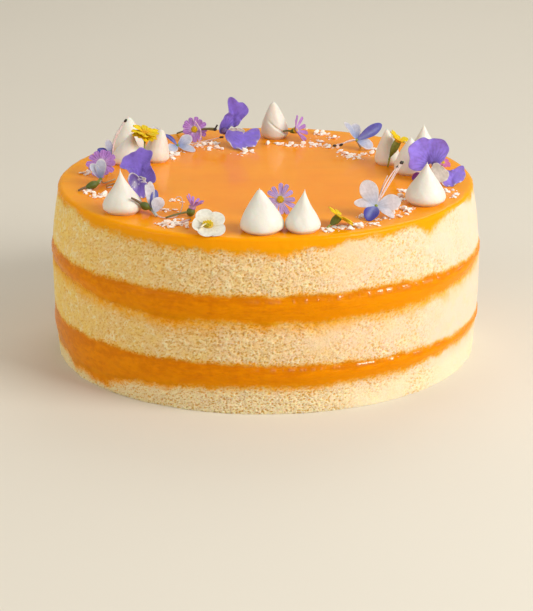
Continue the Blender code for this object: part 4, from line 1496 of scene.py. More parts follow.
@dataclass
class ButterflyBlossom(Flower):
    """Pale petals, a violet-blue one, and long filaments, some with dark anthers.

    Places are measured from its middle. A filament is its middle and its end, or all the
    points of its path, and the anthers are the numbers of those that end in dark ones.
    The violet-blue fades towards the colour of its foot by the fading.
    """

    tube: Point
    pale: Sequence[Petal]
    dark: Sequence[Petal] = ()
    filaments: Sequence[Sequence[Point]] = ()
    anthers: Sequence[int] = ()
    twigs: Sequence[Sequence[Point]] = ()
    calyx: Calyx | None = None
    white: bool = False
    violet_foot: bool = False
    fading: float = 0.0
    pale_wave = 0.05

    def form(self) -> None:
        """Add the petals, the knob between them, the filaments and the green parts."""
        tone = blend(Tone.DARK, Tone.DARK_FOOT, self.fading)
        for petal in self.dark:
            self.petal(petal, Tone.DARK_FOOT, tone, stripe=Tone.DARK_STRIPE)
        inner, outer = (Tone.PALE, Tone.PALEST) if self.white else (Tone.PALE_BLUE, Tone.PALE)
        for i, petal in enumerate(self.pale):
            foot = Tone.VIOLET_LIGHT if self.violet_foot and i else inner
            self.petal(replace(petal, wave=self.pale_wave), foot, outer, Tone.RIM)
        self.solid(ball(self.middle, (1.0, 1.0, 0.9)), Tone.GREEN_LIGHT)
        for i, points in enumerate(self.filaments):
            self.add_filament(points, i in self.anthers)
        for points in self.twigs:
            path = smooth_path(self.middle + np.array(points, float), 20)
            self.stalk(path, 0.4, 0.46, Tone.TWIG)
        path = np.linspace(self.middle, self.middle + self.tube, 8)
        self.stalk(path, 0.6, 0.8, blend(Tone.PALE, Tone.GREEN_LIGHT, 0.4))
        if self.calyx:
            self.add_calyx(self.calyx)

    def add_filament(self, points: Sequence[Point], dark: bool) -> None:
        """Add a filament, or a pair side by side where it carries dark anthers.

        Args:
            points: Its middle and its end, or all the points of its path.
            dark: Whether dark anthers end it.
        """
        start = self.middle
        for i in range(2 if dark else 1):
            stray = np.array([self.draw.uniform(-0.7, 0.7) for _ in range(3)]) * i
            if len(points) == 2:
                path = arc(start, start + points[0] + stray, start + points[1] + 1.2 * stray, 24)
            else:
                path = smooth_path(start + np.array(points, float), 60)
            self.stalk(path, 0.3, 0.2, Tone.FILAMENT, 8)
            if dark:
                self.solid(ball(path[-1], (0.62, 0.62, 1.1), path[-1] - path[-2], 8, 10), Tone.ANTHER)

    def add_calyx(self, calyx: Calyx) -> None:
        """Add the green spindle behind the blossom, its neck and its stem.

        The spindle's radius is a small one at both ends and swells between them as a
        sine of the place along, which is drawn towards the blossom.

        Args:
            calyx: Its sizes.
        """
        middle, stem_tip = self.middle + calyx.middle, self.middle + calyx.stem_tip
        way = unit(stem_tip - middle) * calyx.length
        t = np.linspace(0, 1, 22)
        swell = 0.55 + 1.55 * np.sin(math.pi * t**0.82) ** 1.2
        spindle = tube(middle + way * (t[:, None] - 0.5), swell, 20)
        self.solid(spindle, blend(Tone.GREEN, Tone.CALYX, np.tile(t[:, None], (1, 20))))
        self.stalk(np.linspace(self.middle, middle - 0.3 * way, 8), 0.6, 1.0, Tone.GREEN_LIGHT)
        knee = 0.5 * (middle + stem_tip) + 0.15 * way + (0, 0, 0.2)
        self.stalk(arc(middle + 0.3 * way, knee, stem_tip, 12), 0.75, 0.5, Tone.BROWN)


@dataclass(frozen=True)
class Strap:
    """Form that the petals of a ring share.

    It starts that far from the middle. The round tip closes after the blunt share of its
    length, and the notch in it is a share of the length too.
    """

    start: float
    half_width: float
    blunt: float
    notch: float = 0.0


@dataclass
class RingFlower(Flower):
    """A ring of petals round a raised disc.

    The fold is the petals' rise from flat, in degrees.
    """

    facing: Point
    length: float
    count: int
    fold: float
    lobe_steps = (12, 26)

    def __post_init__(self) -> None:
        """Work out the directions of its face as well."""
        super().__post_init__()
        self.right, self.up, self.front = facing_frame(self.facing)

    def way(self, lobe: Lobe) -> Array:
        """Direction of a lobe, risen from flat."""
        flat = self.right * math.cos(lobe.bearing) + self.up * math.sin(lobe.bearing)
        return flat * math.cos(lobe.lift) + self.front * math.sin(lobe.lift)

    def add_lobes(self, lobes: Sequence[Lobe], strap: Strap, inner: Point, outer: Point) -> None:
        """Add every petal as a strap.

        Its half width swells to a share of the length and closes in a round tip; two
        shallow grooves run along it, and it bends back a little with its length squared.

        Args:
            lobes: The petals.
            strap: The form they share.
            inner: Colour near the disc.
            outer: Colour of the rest.
        """
        s, t = square(*self.lobe_steps)
        u = 0.5 * (t + 1)
        grooves = np.cos(TAU * s)
        past = ((u - strap.blunt) / (1.002 - strap.blunt)).clip(0)
        round_tip = np.sqrt(np.clip(1 - past**2, 0.004, 1))
        half = strap.half_width * (0.5 + 0.5 * smoothstep(0.0, 0.75, u)) * round_tip
        notched = u * (1 - strap.notch * grooves * smoothstep(0.8, 1.0, u) * 0.5)
        for i, lobe in enumerate(lobes):
            way = self.way(lobe)
            side = unit(np.cross(way, self.front))
            over = np.cross(side, way)
            reach = lobe.length - strap.start
            bend = -0.05 * reach * u**2 + 0.16 * (i % 2) + 0.009 * reach * np.sin(5 * u + i) * s
            rise = 0.09 * strap.half_width * grooves + bend
            points = self.middle + way * (strap.start + reach * notched)[..., None]
            points = points + side * (half * s)[..., None] + over * rise[..., None]
            shade = 0.93 + 0.07 * grooves + 0.06 * math.sin(i * 2.4)
            tint = blend(inner, outer, smoothstep(0.0, 0.6, u)) * shade[..., None]
            self.petals.grid(self.lift(points), tint)

    def add_disc(self, radius: float, rise: float, tint: Point, count: int = 70) -> None:
        """Add a domed disc of tiny florets, each turned by the golden angle from the last.

        Args:
            radius: The disc's radius.
            rise: How high it stands.
            tint: Its colour.
            count: Number of florets.
        """
        self.solid(ball(self.middle, (radius, radius, rise), self.front), blend(tint, Tone.GREEN, 0.15))
        size = radius * 0.14
        for i in range(count):
            share = math.sqrt((i + 0.5) / count)
            angle = i * GOLDEN_ANGLE
            flat = self.right * math.cos(angle) + self.up * math.sin(angle)
            dome = self.front * rise * math.sqrt(1 - 0.85 * share**2)
            spot = self.middle + flat * radius * share * 0.97 + dome
            shade = blend(tint, Tone.YELLOW_DEEP if i % 3 else Tone.GREEN_LIGHT, 0.5 * share)
            self.solid(ball(spot, (size, size, 1.3 * size), self.front, 5, 7), shade)


@dataclass
class Daisy(RingFlower):
    """A small lilac daisy with a yellow-green disc over a green cup on a stem.

    The stem ends at a place measured from the middle. The bud is the radius of the round
    green cup of a daisy that is half closed, or 0.
    """

    stem: Point
    half_width: float = 1.15
    tone: Point = Tone.MAGENTA
    bud: float = 0.0
    slot = Slot.LILAC
    cup_depth = 3.0
    cup_radius = 1.7

    def form(self) -> None:
        """Add the petals, the disc, the cup and the stem."""
        lobes = ring_of_lobes(self.node, self.count, self.length, self.fold)
        self.add_lobes(lobes, Strap(1.2, self.half_width, 0.86), blend(self.tone, (1, 1, 1), 0.35), self.tone)
        self.add_disc(1.9, 1.1, self.tone if self.bud else Tone.DISC)
        if self.bud:
            radii = (self.bud, self.bud, 1.05 * self.bud)
            self.solid(ball(self.middle - self.front * self.bud, radii, self.front, 14, 20), Tone.GREEN)
        self.add_cup()

    def add_cup(self) -> None:
        """Add the green cup, which narrows as a power of its depth, and the stem."""
        t = np.linspace(0, 1, 12)
        path = self.middle - self.front * (0.25 + (self.cup_depth - 0.25) * t)[:, None]
        self.solid(tube(path, self.cup_radius * (1 - 0.62 * t**1.6), 18), Tone.GREEN)
        start = self.middle - self.front * 0.7 * self.cup_depth
        end = self.middle + np.array(self.stem, float)
        knee = 0.5 * (start + end) + np.array([0, 0, 0.4])
        self.stalk(arc(start, knee, end, 14), 0.6, 0.45, blend(Tone.GREEN, Tone.BROWN, 0.35))


@dataclass
class YellowFlower(RingFlower):
    """A yellow blossom: short round petals over a green calyx on a thin stem.

    The calyx and the stem end at places measured from the middle. A double one has a
    second ring of petals, which hangs under the first.
    """

    width: float
    calyx: Point
    stem: Point
    double: bool = False
    slot = Slot.YELLOW

    def form(self) -> None:
        """Add the petals, the disc, the calyx and the stem."""
        strap = Strap(1.0, 0.56 * self.width, 0.72, notch=0.06)
        rings = [ring_of_lobes(self.node, self.count, self.length, self.fold)]
        if self.double:
            rings.append(ring_of_lobes(self.node + " under", self.count, 0.9 * self.length, self.fold - 26))
        for lobes in rings:
            self.add_lobes(lobes, strap, Tone.YELLOW_DEEP, Tone.YELLOW)
        self.add_disc(1.9, 1.2, Tone.YELLOW_DEEP, 50)
        calyx = np.array(self.calyx, float)
        t = np.linspace(0, 1, 16)
        radii = 2.0 - 0.4 * t + 0.25 * np.sin(5 * t) - 1.2 * smoothstep(0.35, 1.0, t)
        green = blend(Tone.GREEN_LIGHT, Tone.CALYX, np.tile(t[:, None], (1, 18)))
        self.solid(tube(self.middle + calyx * t[:, None], radii, 18), green)
        stem = np.linspace(self.middle + 0.8 * calyx, self.middle + self.stem, 8)
        self.stalk(stem, 0.5, 0.4, Tone.GREEN_LIGHT)


@dataclass
class WhiteFlower(Flower):
    """Broad creamy petals that lie over each other, and a yellow-green middle.

    A ray is a petal's bearing in degrees and its length.
    """

    facing: Point
    rays: Sequence[tuple[float, float]]
    width: float = 9.6
    stamens: int = 26
    slot = Slot.WHITE

    def form(self) -> None:
        """Add the petals, each a little over the last, the knob, the pistil and the stamens."""
        right, up, front = facing_frame(self.facing)
        for i, (bearing, reach) in enumerate(self.rays):
            angle = math.radians(bearing)
            way = right * math.cos(angle) + up * math.sin(angle)
            base = front * 0.16 * (i % 3)
            tip = base + way * reach + front * 0.5
            petal = Petal(tip, self.width, front, 0.05, base, neck=0.45, arch=-0.03, wave=0.035)
            self.petal(petal, blend(Tone.WHITE, Tone.THROAT, 0.35), Tone.WHITE)
        knob = ball(self.middle + front * 0.5, (2.9, 2.4, 0.9), front)
        self.solid(knob, blend(Tone.YELLOW_DEEP, Tone.GREEN_LIGHT, 0.35))
        aslant = -1.8 * right - 1.2 * up
        pistil = arc(front, aslant + 1.8 * front, 2 * aslant + 1.2 * front, 10)
        self.stalk(self.middle + pistil, 0.35, 0.5, blend(Tone.WHITE, Tone.THROAT, 0.3))
        for i in range(self.stamens):
            angle = i * GOLDEN_ANGLE
            away = 2.6 * math.sqrt((i + 0.5) / self.stamens)
            flat = right * math.cos(angle) * away + up * math.sin(angle) * away * 0.75
            foot = self.middle + 0.5 * flat + front * 0.4
            top = self.middle + flat + front * (1.9 - 0.12 * away)
            self.stalk(np.linspace(foot, top, 5), 0.14, 0.14, Tone.THROAT, 7)
            # Stamens on the lower side are painted greener and darker: painted shade under the middle.
            shade = blend(Tone.YELLOW, Tone.GREEN_LIGHT, 0.05 if flat.dot(up) > -0.5 else 0.45)
            self.solid(ball(top, (0.4, 0.4, 0.45), front, 6, 8), shade)


@dataclass(frozen=True)
class VioletSheet:
    """A large wavy petal: a disc drawn out to its outline, cupped, with rippled edges.

    The hub is measured from the middle of the glaze's top, the lean is in degrees back
    from upright, and the outline is radii at even bearings, the first to the right.
    """

    hub: Point
    lean: float
    outline: Sequence[float]
    cup: float
    ripple: float
    valley: float = 0.0

    def surface(self, steps: int) -> tuple[Array, Array, Array, Array, Array]:
        """Work the sheet out.

        The depth is the cup times the squared share of the radius, plus ripples that
        grow to the edge: three big ones, and smaller ones of 7 and 13 a turn. A valley
        runs up the middle as a bell curve across, fading towards the top, with five soft
        folds beside it that grow as the squared share.

        Args:
            steps: Points across it, and as many up.

        Returns:
            Its points, its place across and up in its plane, its share of the radius and
            the bearing.
        """
        angle = math.radians(self.lean)
        up = np.array([0.0, math.sin(angle), math.cos(angle)])
        right = np.array([1.0, 0.0, 0.0])
        front = np.cross(right, up)
        a, b = disc_points(*square(steps, steps))
        rho, bearing = np.hypot(a, b), np.arctan2(b, a)
        phase = self.hub[0]
        reach = closed_curve(self.outline, bearing / TAU)
        reach = reach * (1 + 0.012 * np.sin(11 * bearing + phase) * rho**4)
        depth = self.cup * rho**2 - 0.5 * self.cup + self.ripple * rho**3 * np.sin(3 * bearing + phase)
        depth = depth + 0.45 * rho**5 * np.sin(7 * bearing + 2) + 0.22 * rho**8 * np.sin(13 * bearing)
        trough = np.exp(-(((a - 0.12 * np.sin(2.5 * b)) / 0.2) ** 2)) * smoothstep(1.0, -0.4, b)
        folds = 0.3 * rho**2 * np.sin(5 * bearing + 0.7 * phase)
        depth = depth + self.valley * (folds - trough)
        x, y = a * reach, b * reach
        points = np.asarray(self.hub) + right * x[..., None] + up * y[..., None] + front * depth[..., None]
        return points, x, y, rho, bearing


class Marking(Enum):
    """What a violet's sheet carries besides its veins."""

    VEINED = "veins alone"
    FRINGED = "a white streaked edge and paler rays"
    SPECKLED = "the same, with white specks and a white flash"
    LIP = "veins in its own pale colour"


@dataclass
class Violet(Flower):
    """A two-lipped violet blossom: banner, lower petal, pale lip and throat.

    Its middle is the throat. Its places are measured from the middle of the glaze's top,
    but for the tucked petal's, which are measured from the throat.

    The claws are the ends of the narrow feet that hold the petals together, and the
    tucked petal is half hidden behind the rest.
    """

    banner: VioletSheet
    lower: VioletSheet
    lip: VioletSheet
    tone: Point = Tone.VIOLET
    marking: Marking = Marking.FRINGED
    claws: Sequence[Point] = ()
    stem: tuple[Point, Point] | None = None
    tucked: Petal | None = None
    slot = Slot.VIOLET
    thick = 0.26

    def form(self) -> None:
        """Add the three sheets, the throat, the claws, the stem and the tucked petal."""
        throat = self.middle
        self.sheet(self.banner, 72, self.tone, Marking.VEINED)
        self.sheet(self.lower, 56, self.tone, self.marking)
        self.sheet(self.lip, 30, Tone.LIP, Marking.LIP)
        self.solid(ball(throat, (1.9, 2.1, 2.1)), blend(Tone.VIOLET_DEEP, Tone.BROWN, 0.3))
        for tip in self.claws:
            self.stalk(np.linspace(throat, throat + 0.85 * (tip - throat), 8), 0.7, 0.3, Tone.VIOLET_LIGHT)
        if self.stem:
            start, end = (np.array(place, float) for place in self.stem)
            knee = 0.5 * (start + end) + (0, 0, 0.3)
            self.solid(ball(start, (0.95, 0.95, 1.3), end - start), Tone.ANTHER)
            self.stalk(arc(start, knee, end, 12), 0.9, 0.6, blend(Tone.GREEN, Tone.BROWN, 0.6))
            self.stalk(np.linspace(start, start + (1.5, 0.0, 2.6), 6), 0.5, 0.5, Tone.ANTHER)
        if self.tucked:
            self.petal(self.tucked, Tone.VIOLET_LIGHT, Tone.PLUM)

    def sheet(self, sheet: VioletSheet, steps: int, tone: Point, marking: Marking) -> None:
        """Add a sheet whose veins fan out from the throat and whose edge is paler.

        The veins are dark lines at even angles round the throat that fade with the
        distance from it. Near the throat the sheet is painted darker, as painted shade where
        the petals meet. A fringe adds a white streaked edge and paler rays towards it.

        Args:
            sheet: The form.
            steps: Points across the sheet.
            tone: Its colour.
            marking: What it carries besides its veins.
        """
        points, x, y, rho, bearing = sheet.surface(steps)
        angle = math.radians(sheet.lean)
        away = self.middle - np.asarray(sheet.hub)
        near_x, near_y = away[0], away[1] * math.sin(angle) + away[2] * math.cos(angle)
        fan = np.arctan2(y - near_y, x - near_x)
        far = np.hypot(x - near_x, y - near_y)
        ray = 0.5 + 0.5 * np.cos(fan * 30 + 0.6 * np.sin(far * 0.9))
        spot = np.stack([x, y, rho * 0], -1)
        cloud = 0.5 + 0.5 * Noise.layered(spot / 3.5 + 9, 3, steps)
        tint = blend(tone, np.array(tone) * 1.35 + 0.03, cloud * 0.7)
        # The second colour is painted shade near the throat.
        vein, well, edge = Tone.VIOLET_DEEP, Tone.VIOLET_DEEP, Tone.VIOLET_LIGHT
        if marking is Marking.LIP:
            vein, well, edge = np.array(tone) * 0.8, np.array(tone) * 0.85, Tone.RIM
        tint = blend(tint, vein, 0.4 * ray**3 * smoothstep(16, 3, far))
        # Painted shade near the throat, where the petals meet.
        tint = blend(tint, well, 0.75 * smoothstep(8.5, 1.5, far))
        tint = blend(tint, edge, 0.5 * smoothstep(0.9, 1.0, rho))
        if marking in (Marking.FRINGED, Marking.SPECKLED):
            low = smoothstep(0.3, -0.4, np.sin(bearing))
            tint = blend(tint, Tone.VIOLET_LIGHT, 0.6 * ray**2 * smoothstep(0.3, 0.9, rho))
            tint = blend(tint, Tone.RIM, smoothstep(0.45, 0.9, ray) * low * smoothstep(0.8, 1.0, rho))
        if marking is Marking.SPECKLED:
            fleck = smoothstep(0.3, 0.5, Noise.layered(spot / 1.1, 2, 41))
            flash = np.exp(-(((x + 2.2) / 1.3) ** 2) - ((y - 0.5) / 2.2) ** 2)
            border = smoothstep(0.86, 0.97, rho) * smoothstep(0.2, 0.7, np.sin(bearing))
            tint = blend(tint, Tone.RIM, np.clip(0.5 * fleck + 0.6 * flash + 0.7 * border, 0, 1))
        self.petals.grid(self.lift(points), tint)


BUTTERFLIES = (
    ButterflyBlossom(
        "butterfly_blossom_front_right", (56.3, -72, 5.4), tube=(-1.0, 3.6, -3.2), white=True, anthers=(0, 1),
        dark=(Petal((-4.4, -10.4, -4.9), 8.2, (-0.1, -0.7, 0.7), 0.22),),
        pale=(
            Petal((-6.0, 4.0, 12.3), 10.0, (0.0, -1.0, 0.3), 0.05),
            Petal((-11.3, -1.0, 2.0), 5.8, (0.0, -0.6, 0.8), 0.05),
            Petal((12.6, 1.0, 2.4), 9.0, (0.0, -0.9, 0.5), 0.05),
            Petal((8.9, -6.0, -4.6), 4.8, (0.2, -0.5, 0.9), 0.05),
        ),
        filaments=(
            ((6.6, 7.0, 10.0), (13.3, 15.0, 18.8)),
            ((5.2, 6.0, 10.4), (11.5, 14.6, 16.6)),
            ((3.0, 5.0, 7.5), (6.2, 10.0, 13.2)),
        ),
    ),
    ButterflyBlossom(
        "butterfly_blossom_back_right", (51.2, 58, 6.4), tube=(2.5, 5.0, -5.2), fading=0.45, anthers=(0, 1),
        dark=(Petal((14.2, 3.5, 8.2), 6.4, (0.2, -0.9, 0.3), 0.25),),
        pale=(
            Petal((-6.8, 3.0, 9.6), 5.0, (0.8, -0.6, 0.3), 0.05),
            Petal((-0.9, 5.5, 8.2), 6.8, (0.0, -1.0, 0.2), 0.08),
            Petal((9.2, -1.5, -3.9), 6.8, (0.0, -0.7, 0.7), 0.05),
        ),
        filaments=(
            ((-4.5, -4.5, 0.8), (-9.0, -6.0, -1.2)),
            ((-6.0, -3.0, -0.6), (-12.6, -6.0, -1.6)),
        ),
    ),
    ButterflyBlossom(
        "butterfly_blossom_back_left", (-49.4, 59.5, 3.5), tube=(2.0, 5.5, -1.6), anthers=(1,),
        dark=(Petal((-7.1, 0.0, 6.3), 3.4, (0.35, -0.45, 0.8), 0.2),),
        pale=(
            Petal((8.0, 2.0, 4.5), 6.6, (0.0, -0.9, 0.45), 0.08),
            Petal((10.1, -4.2, -2.3), 5.0, (0.0, -0.6, 0.9), 0.05),
            Petal((-4.6, -5.4, -1.6), 6.6, (-0.1, -0.8, 0.6), 0.08),
        ),
        filaments=(
            ((0.0, 0.0, 0.0), (4.4, 0.4, -1.4), (8.2, 2.0, -1.6), (11.4, 3.0, 0.4), (12.9, 3.5, 3.6),
             (13.2, 4.0, 6.2), (12.6, 4.5, 8.6), (9.8, 5.5, 12.9)),
            ((11.3, 5.7, 0.2), (24.4, 2.5, 4.0)),
        ),
    ),
    ButterflyBlossom(
        "butterfly_blossom_behind_left", (-61.5, 61.5, 1.8), tube=(1.6, -3.4, -0.4),
        pale=(Petal((-1.7, 2.0, 11.3), 8.6, (0.1, -1.0, 0.25), 0.06),),
    ),
    ButterflyBlossom(
        "butterfly_blossom_left", (-87.9, -13.0, 3.7), tube=(-0.7, -3.6, -1.2), violet_foot=True,
        pale=(
            Petal((0.3, 3.5, 10.4), 6.2, (0.0, -1.0, 0.25), 0.06),
            Petal((-5.2, 2.8, 7.8), 5.0, (0.35, -0.9, 0.3), 0.25),
        ),
        calyx=Calyx((-4.2, -8.0, -1.1), (-11.1, -12.1, -2.8), 8.4),
        twigs=(((0.0, 0.0, -0.4), (1.4, 1.2, -2.4), (4.2, 5.4, -2.7), (7.1, 9.8, -2.7)),),
    ),
    ButterflyBlossom(
        "butterfly_blossom_far_left", (-83.0, 16.4, 8.6), tube=(-1.6, 3.0, -7.8), anthers=(0,),
        dark=(Petal((-8.4, 0.6, 3.6), 4.2, (0.2, -0.8, 0.6), 0.15),),
        pale=(Petal((-3.0, 1.0, 9.2), 4.6, (0.0, -1.0, 0.1), 0.05),),
        filaments=(
            ((1.2, 0.4, 8.5), (7.0, 3.0, 19.0)),
            ((0.4, -0.4, 6.0), (3.2, 1.6, 14.4)),
        ),
    ),
    ButterflyBlossom(
        "butterfly_blossom_front_left", (-58.7, -66.0, 2.3), tube=(3.2, -7.8, -1.0), white=True, fading=0.6,
        dark=(Petal((2.4, 4.4, 9.2), 4.2, (0.3, -0.9, 0.3), 0.15),),
        pale=(
            Petal((-2.5, 3.8, 12.2), 4.0, (0.55, -0.8, 0.2), 0.05),
            Petal((-0.5, 6.0, 13.2), 4.8, (0.0, -1.0, 0.3), 0.05),
            Petal((5.0, 0.0, 6.3), 7.2, (-0.1, -0.9, 0.5), 0.1, base=(2.0, -4.4, -0.5)),
        ),
        filaments=(
            ((2.4, -6.4, -0.9), (6.0, -9.6, -1.5), (9.4, -10.2, -1.5), (12.6, -8.5, -1.5), (15.0, -4.0, -0.6),
             (16.2, -0.6, 2.4), (16.1, 0.0, 4.8), (15.0, 0.0, 6.6), (12.8, 0.0, 6.3)),
        ),
        calyx=Calyx((-3.1, -2.5, 2.7), (-9.6, -5.2, 7.6), 6.2),
    ),
)

DAISIES = (
    Daisy("daisy_front", (7.5, -72.6, 9.8), (0.05, -1.0, 0.25), 8.2, 12, 8, (2.6, 4.6, -8.6),
          tone=Tone.LILAC),
    Daisy("daisy_back_left", (-40.3, 77.6, 7.8), (-0.1, -1.0, 0.3), 7.6, 13, 10, (-10.6, 17.8, -6.8), 1.3),
    Daisy("daisy_left", (-88.4, 5.4, 7.2), (-0.1, -0.8, 0.62), 8.4, 12, 6, (2.6, 4.0, -6.8), 1.6),
    Daisy("daisy_back", (17.0, 81.6, 5.6), (0.85, -0.3, 0.35), 9.0, 9, 30, (-6.8, -0.4, -0.4)),
    Daisy("daisy_front_left", (-37.4, -72.0, 4.4), (0.35, 0.12, 0.93), 7.2, 10, 46, (-13.2, -7.4, -3.0), 0.72,
          bud=2.2),
    Daisy("daisy_right", (95.4, 10.0, 6.0), (0.4, -0.3, 0.85), 5.4, 9, 10, (-2.4, 5.4, -5.1), tone=Tone.PINK),
)

YELLOWS = (
    YellowFlower("yellow_flower_back_left", (-66.1, 31.0, 17.4), (0.27, -0.14, 0.95), 8.2, 10, 14, 3.4,
                 calyx=(-0.3, 0.8, -5.8), stem=(-0.5, -3.2, -17.0), double=True),
    YellowFlower("yellow_flower_front_right", (36.7, -90.0, 5.2), (0.6, 0.14, 0.79), 8.2, 9, 12, 3.6,
                 calyx=(-5.2, -5.0, -3.4), stem=(-6.2, -6.0, -4.0)),
    YellowFlower("yellow_flower_back_right", (72.2, 20.0, 15.1), (0.42, 0.02, 0.91), 7.2, 8, 26, 3.2,
                 calyx=(-5.0, 0.9, -10.6), stem=(-5.3, 0.9, -14.6)),
)

WHITES = (
    WhiteFlower("white_flower", (-28.8, -101.2, 4.6), (0.0, -0.54, 0.84),
                ((-36, 9.8), (41, 9.8), (107, 10.2), (175, 7.9), (265, 8.0))),
)

VIOLETS = (
    Violet(
        "violet_back_left", (-23.2, 71.6, 8.4),
        banner=VioletSheet(
            (-17.5, 75, 16.4), 17,
            (6.5, 8.7, 8.8, 9.1, 8, 9.9, 10.4, 5.8, 3.8, 4,
             5.6, 6.8, 10.5, 12.6, 6.4, 6.5, 6, 5.2, 4.8, 5.2),
            1.2, 0.5, valley=1.5,
        ),
        lower=VioletSheet(
            (-12.5, 66, 4.6), 61,
            (9.2, 10.6, 11.2, 8.4, 6.2, 7.2, 10.2, 10.9, 9.4, 8.2, 8.3, 8.8, 9, 6.8, 8.4, 8.2),
            1.2, 0.6, valley=0.5,
        ),
        lip=VioletSheet((-15.8, 71.4, 8.0), 20, (4.2, 2.6, 1.8, 3.0, 5.4, 2.4, 1.6, 2.2), 0.6, 0.2),
        tone=Tone.VIOLET_CLEAR,
        stem=((-28.6, 71.4, 9.4), (-36.0, 74.5, 8.6)),
    ),
    Violet(
        "violet_left", (-66.2, -29.3, 7.2),
        banner=VioletSheet(
            (-66.0, -21, 12.0), 45,
            (5.6, 5.3, 6.4, 10.4, 10.9, 11.1, 9.4, 9.9, 10.9, 10.7,
             11, 8, 7, 6.8, 6.8, 7.4, 9.3, 12.6, 9.8, 6.6),
            1.6, 0.7, valley=1.5,
        ),
        lower=VioletSheet(
            (-66.5, -34, 5.6), 40,
            (5, 4.4, 3.9, 4.4, 8.2, 6.5, 4.6, 4.2, 5, 6.6, 7.6, 6),
            0.8, 0.4, valley=0.5,
        ),
        lip=VioletSheet((-68.0, -30.4, 7.8), 40, (5.2, 2.4, 1.6, 2.6, 4.6, 2.0, 1.4, 2.4), 0.4, 0.2),
        marking=Marking.SPECKLED,
    ),
    Violet(
        "violet_right", (90.4, -10.8, 10.2),
        banner=VioletSheet(
            (87.5, -6.5, 15.2), 16,
            (10, 11.1, 10.8, 9.8, 8.6, 7.8, 9.1, 9.7, 10.1, 11.6,
             10.9, 11, 13, 11.3, 8.6, 5.6, 5.8, 7.7, 8.1, 8.8),
            1.6, 0.7, valley=1.5,
        ),
        lower=VioletSheet(
            (99.5, -15.5, 4.9), 38,
            (6.9, 7.2, 8, 4.9, 3.8, 3.9, 6, 8, 7, 6.8, 6.8, 6.2, 5.6, 5, 5.2, 5.8),
            1.2, 0.7, valley=0.5,
        ),
        lip=VioletSheet((91.8, -17.4, 7.6), 33, (5.5, 4.2, 4.5, 5.6, 4.5, 3.8, 3.8, 4.5, 5.6, 6), 0.5, 0.0),
        tone=Tone.VIOLET_BRIGHT,
        claws=((91.8, -17.4, 7.6), (93.6, -14.6, 6.1)),
        tucked=Petal((-11.8, 6.2, -9.0), 5.2, (-0.1, -0.7, 0.7), 0.2, base=(-4.4, 4.8, -7.6)),
    ),
)


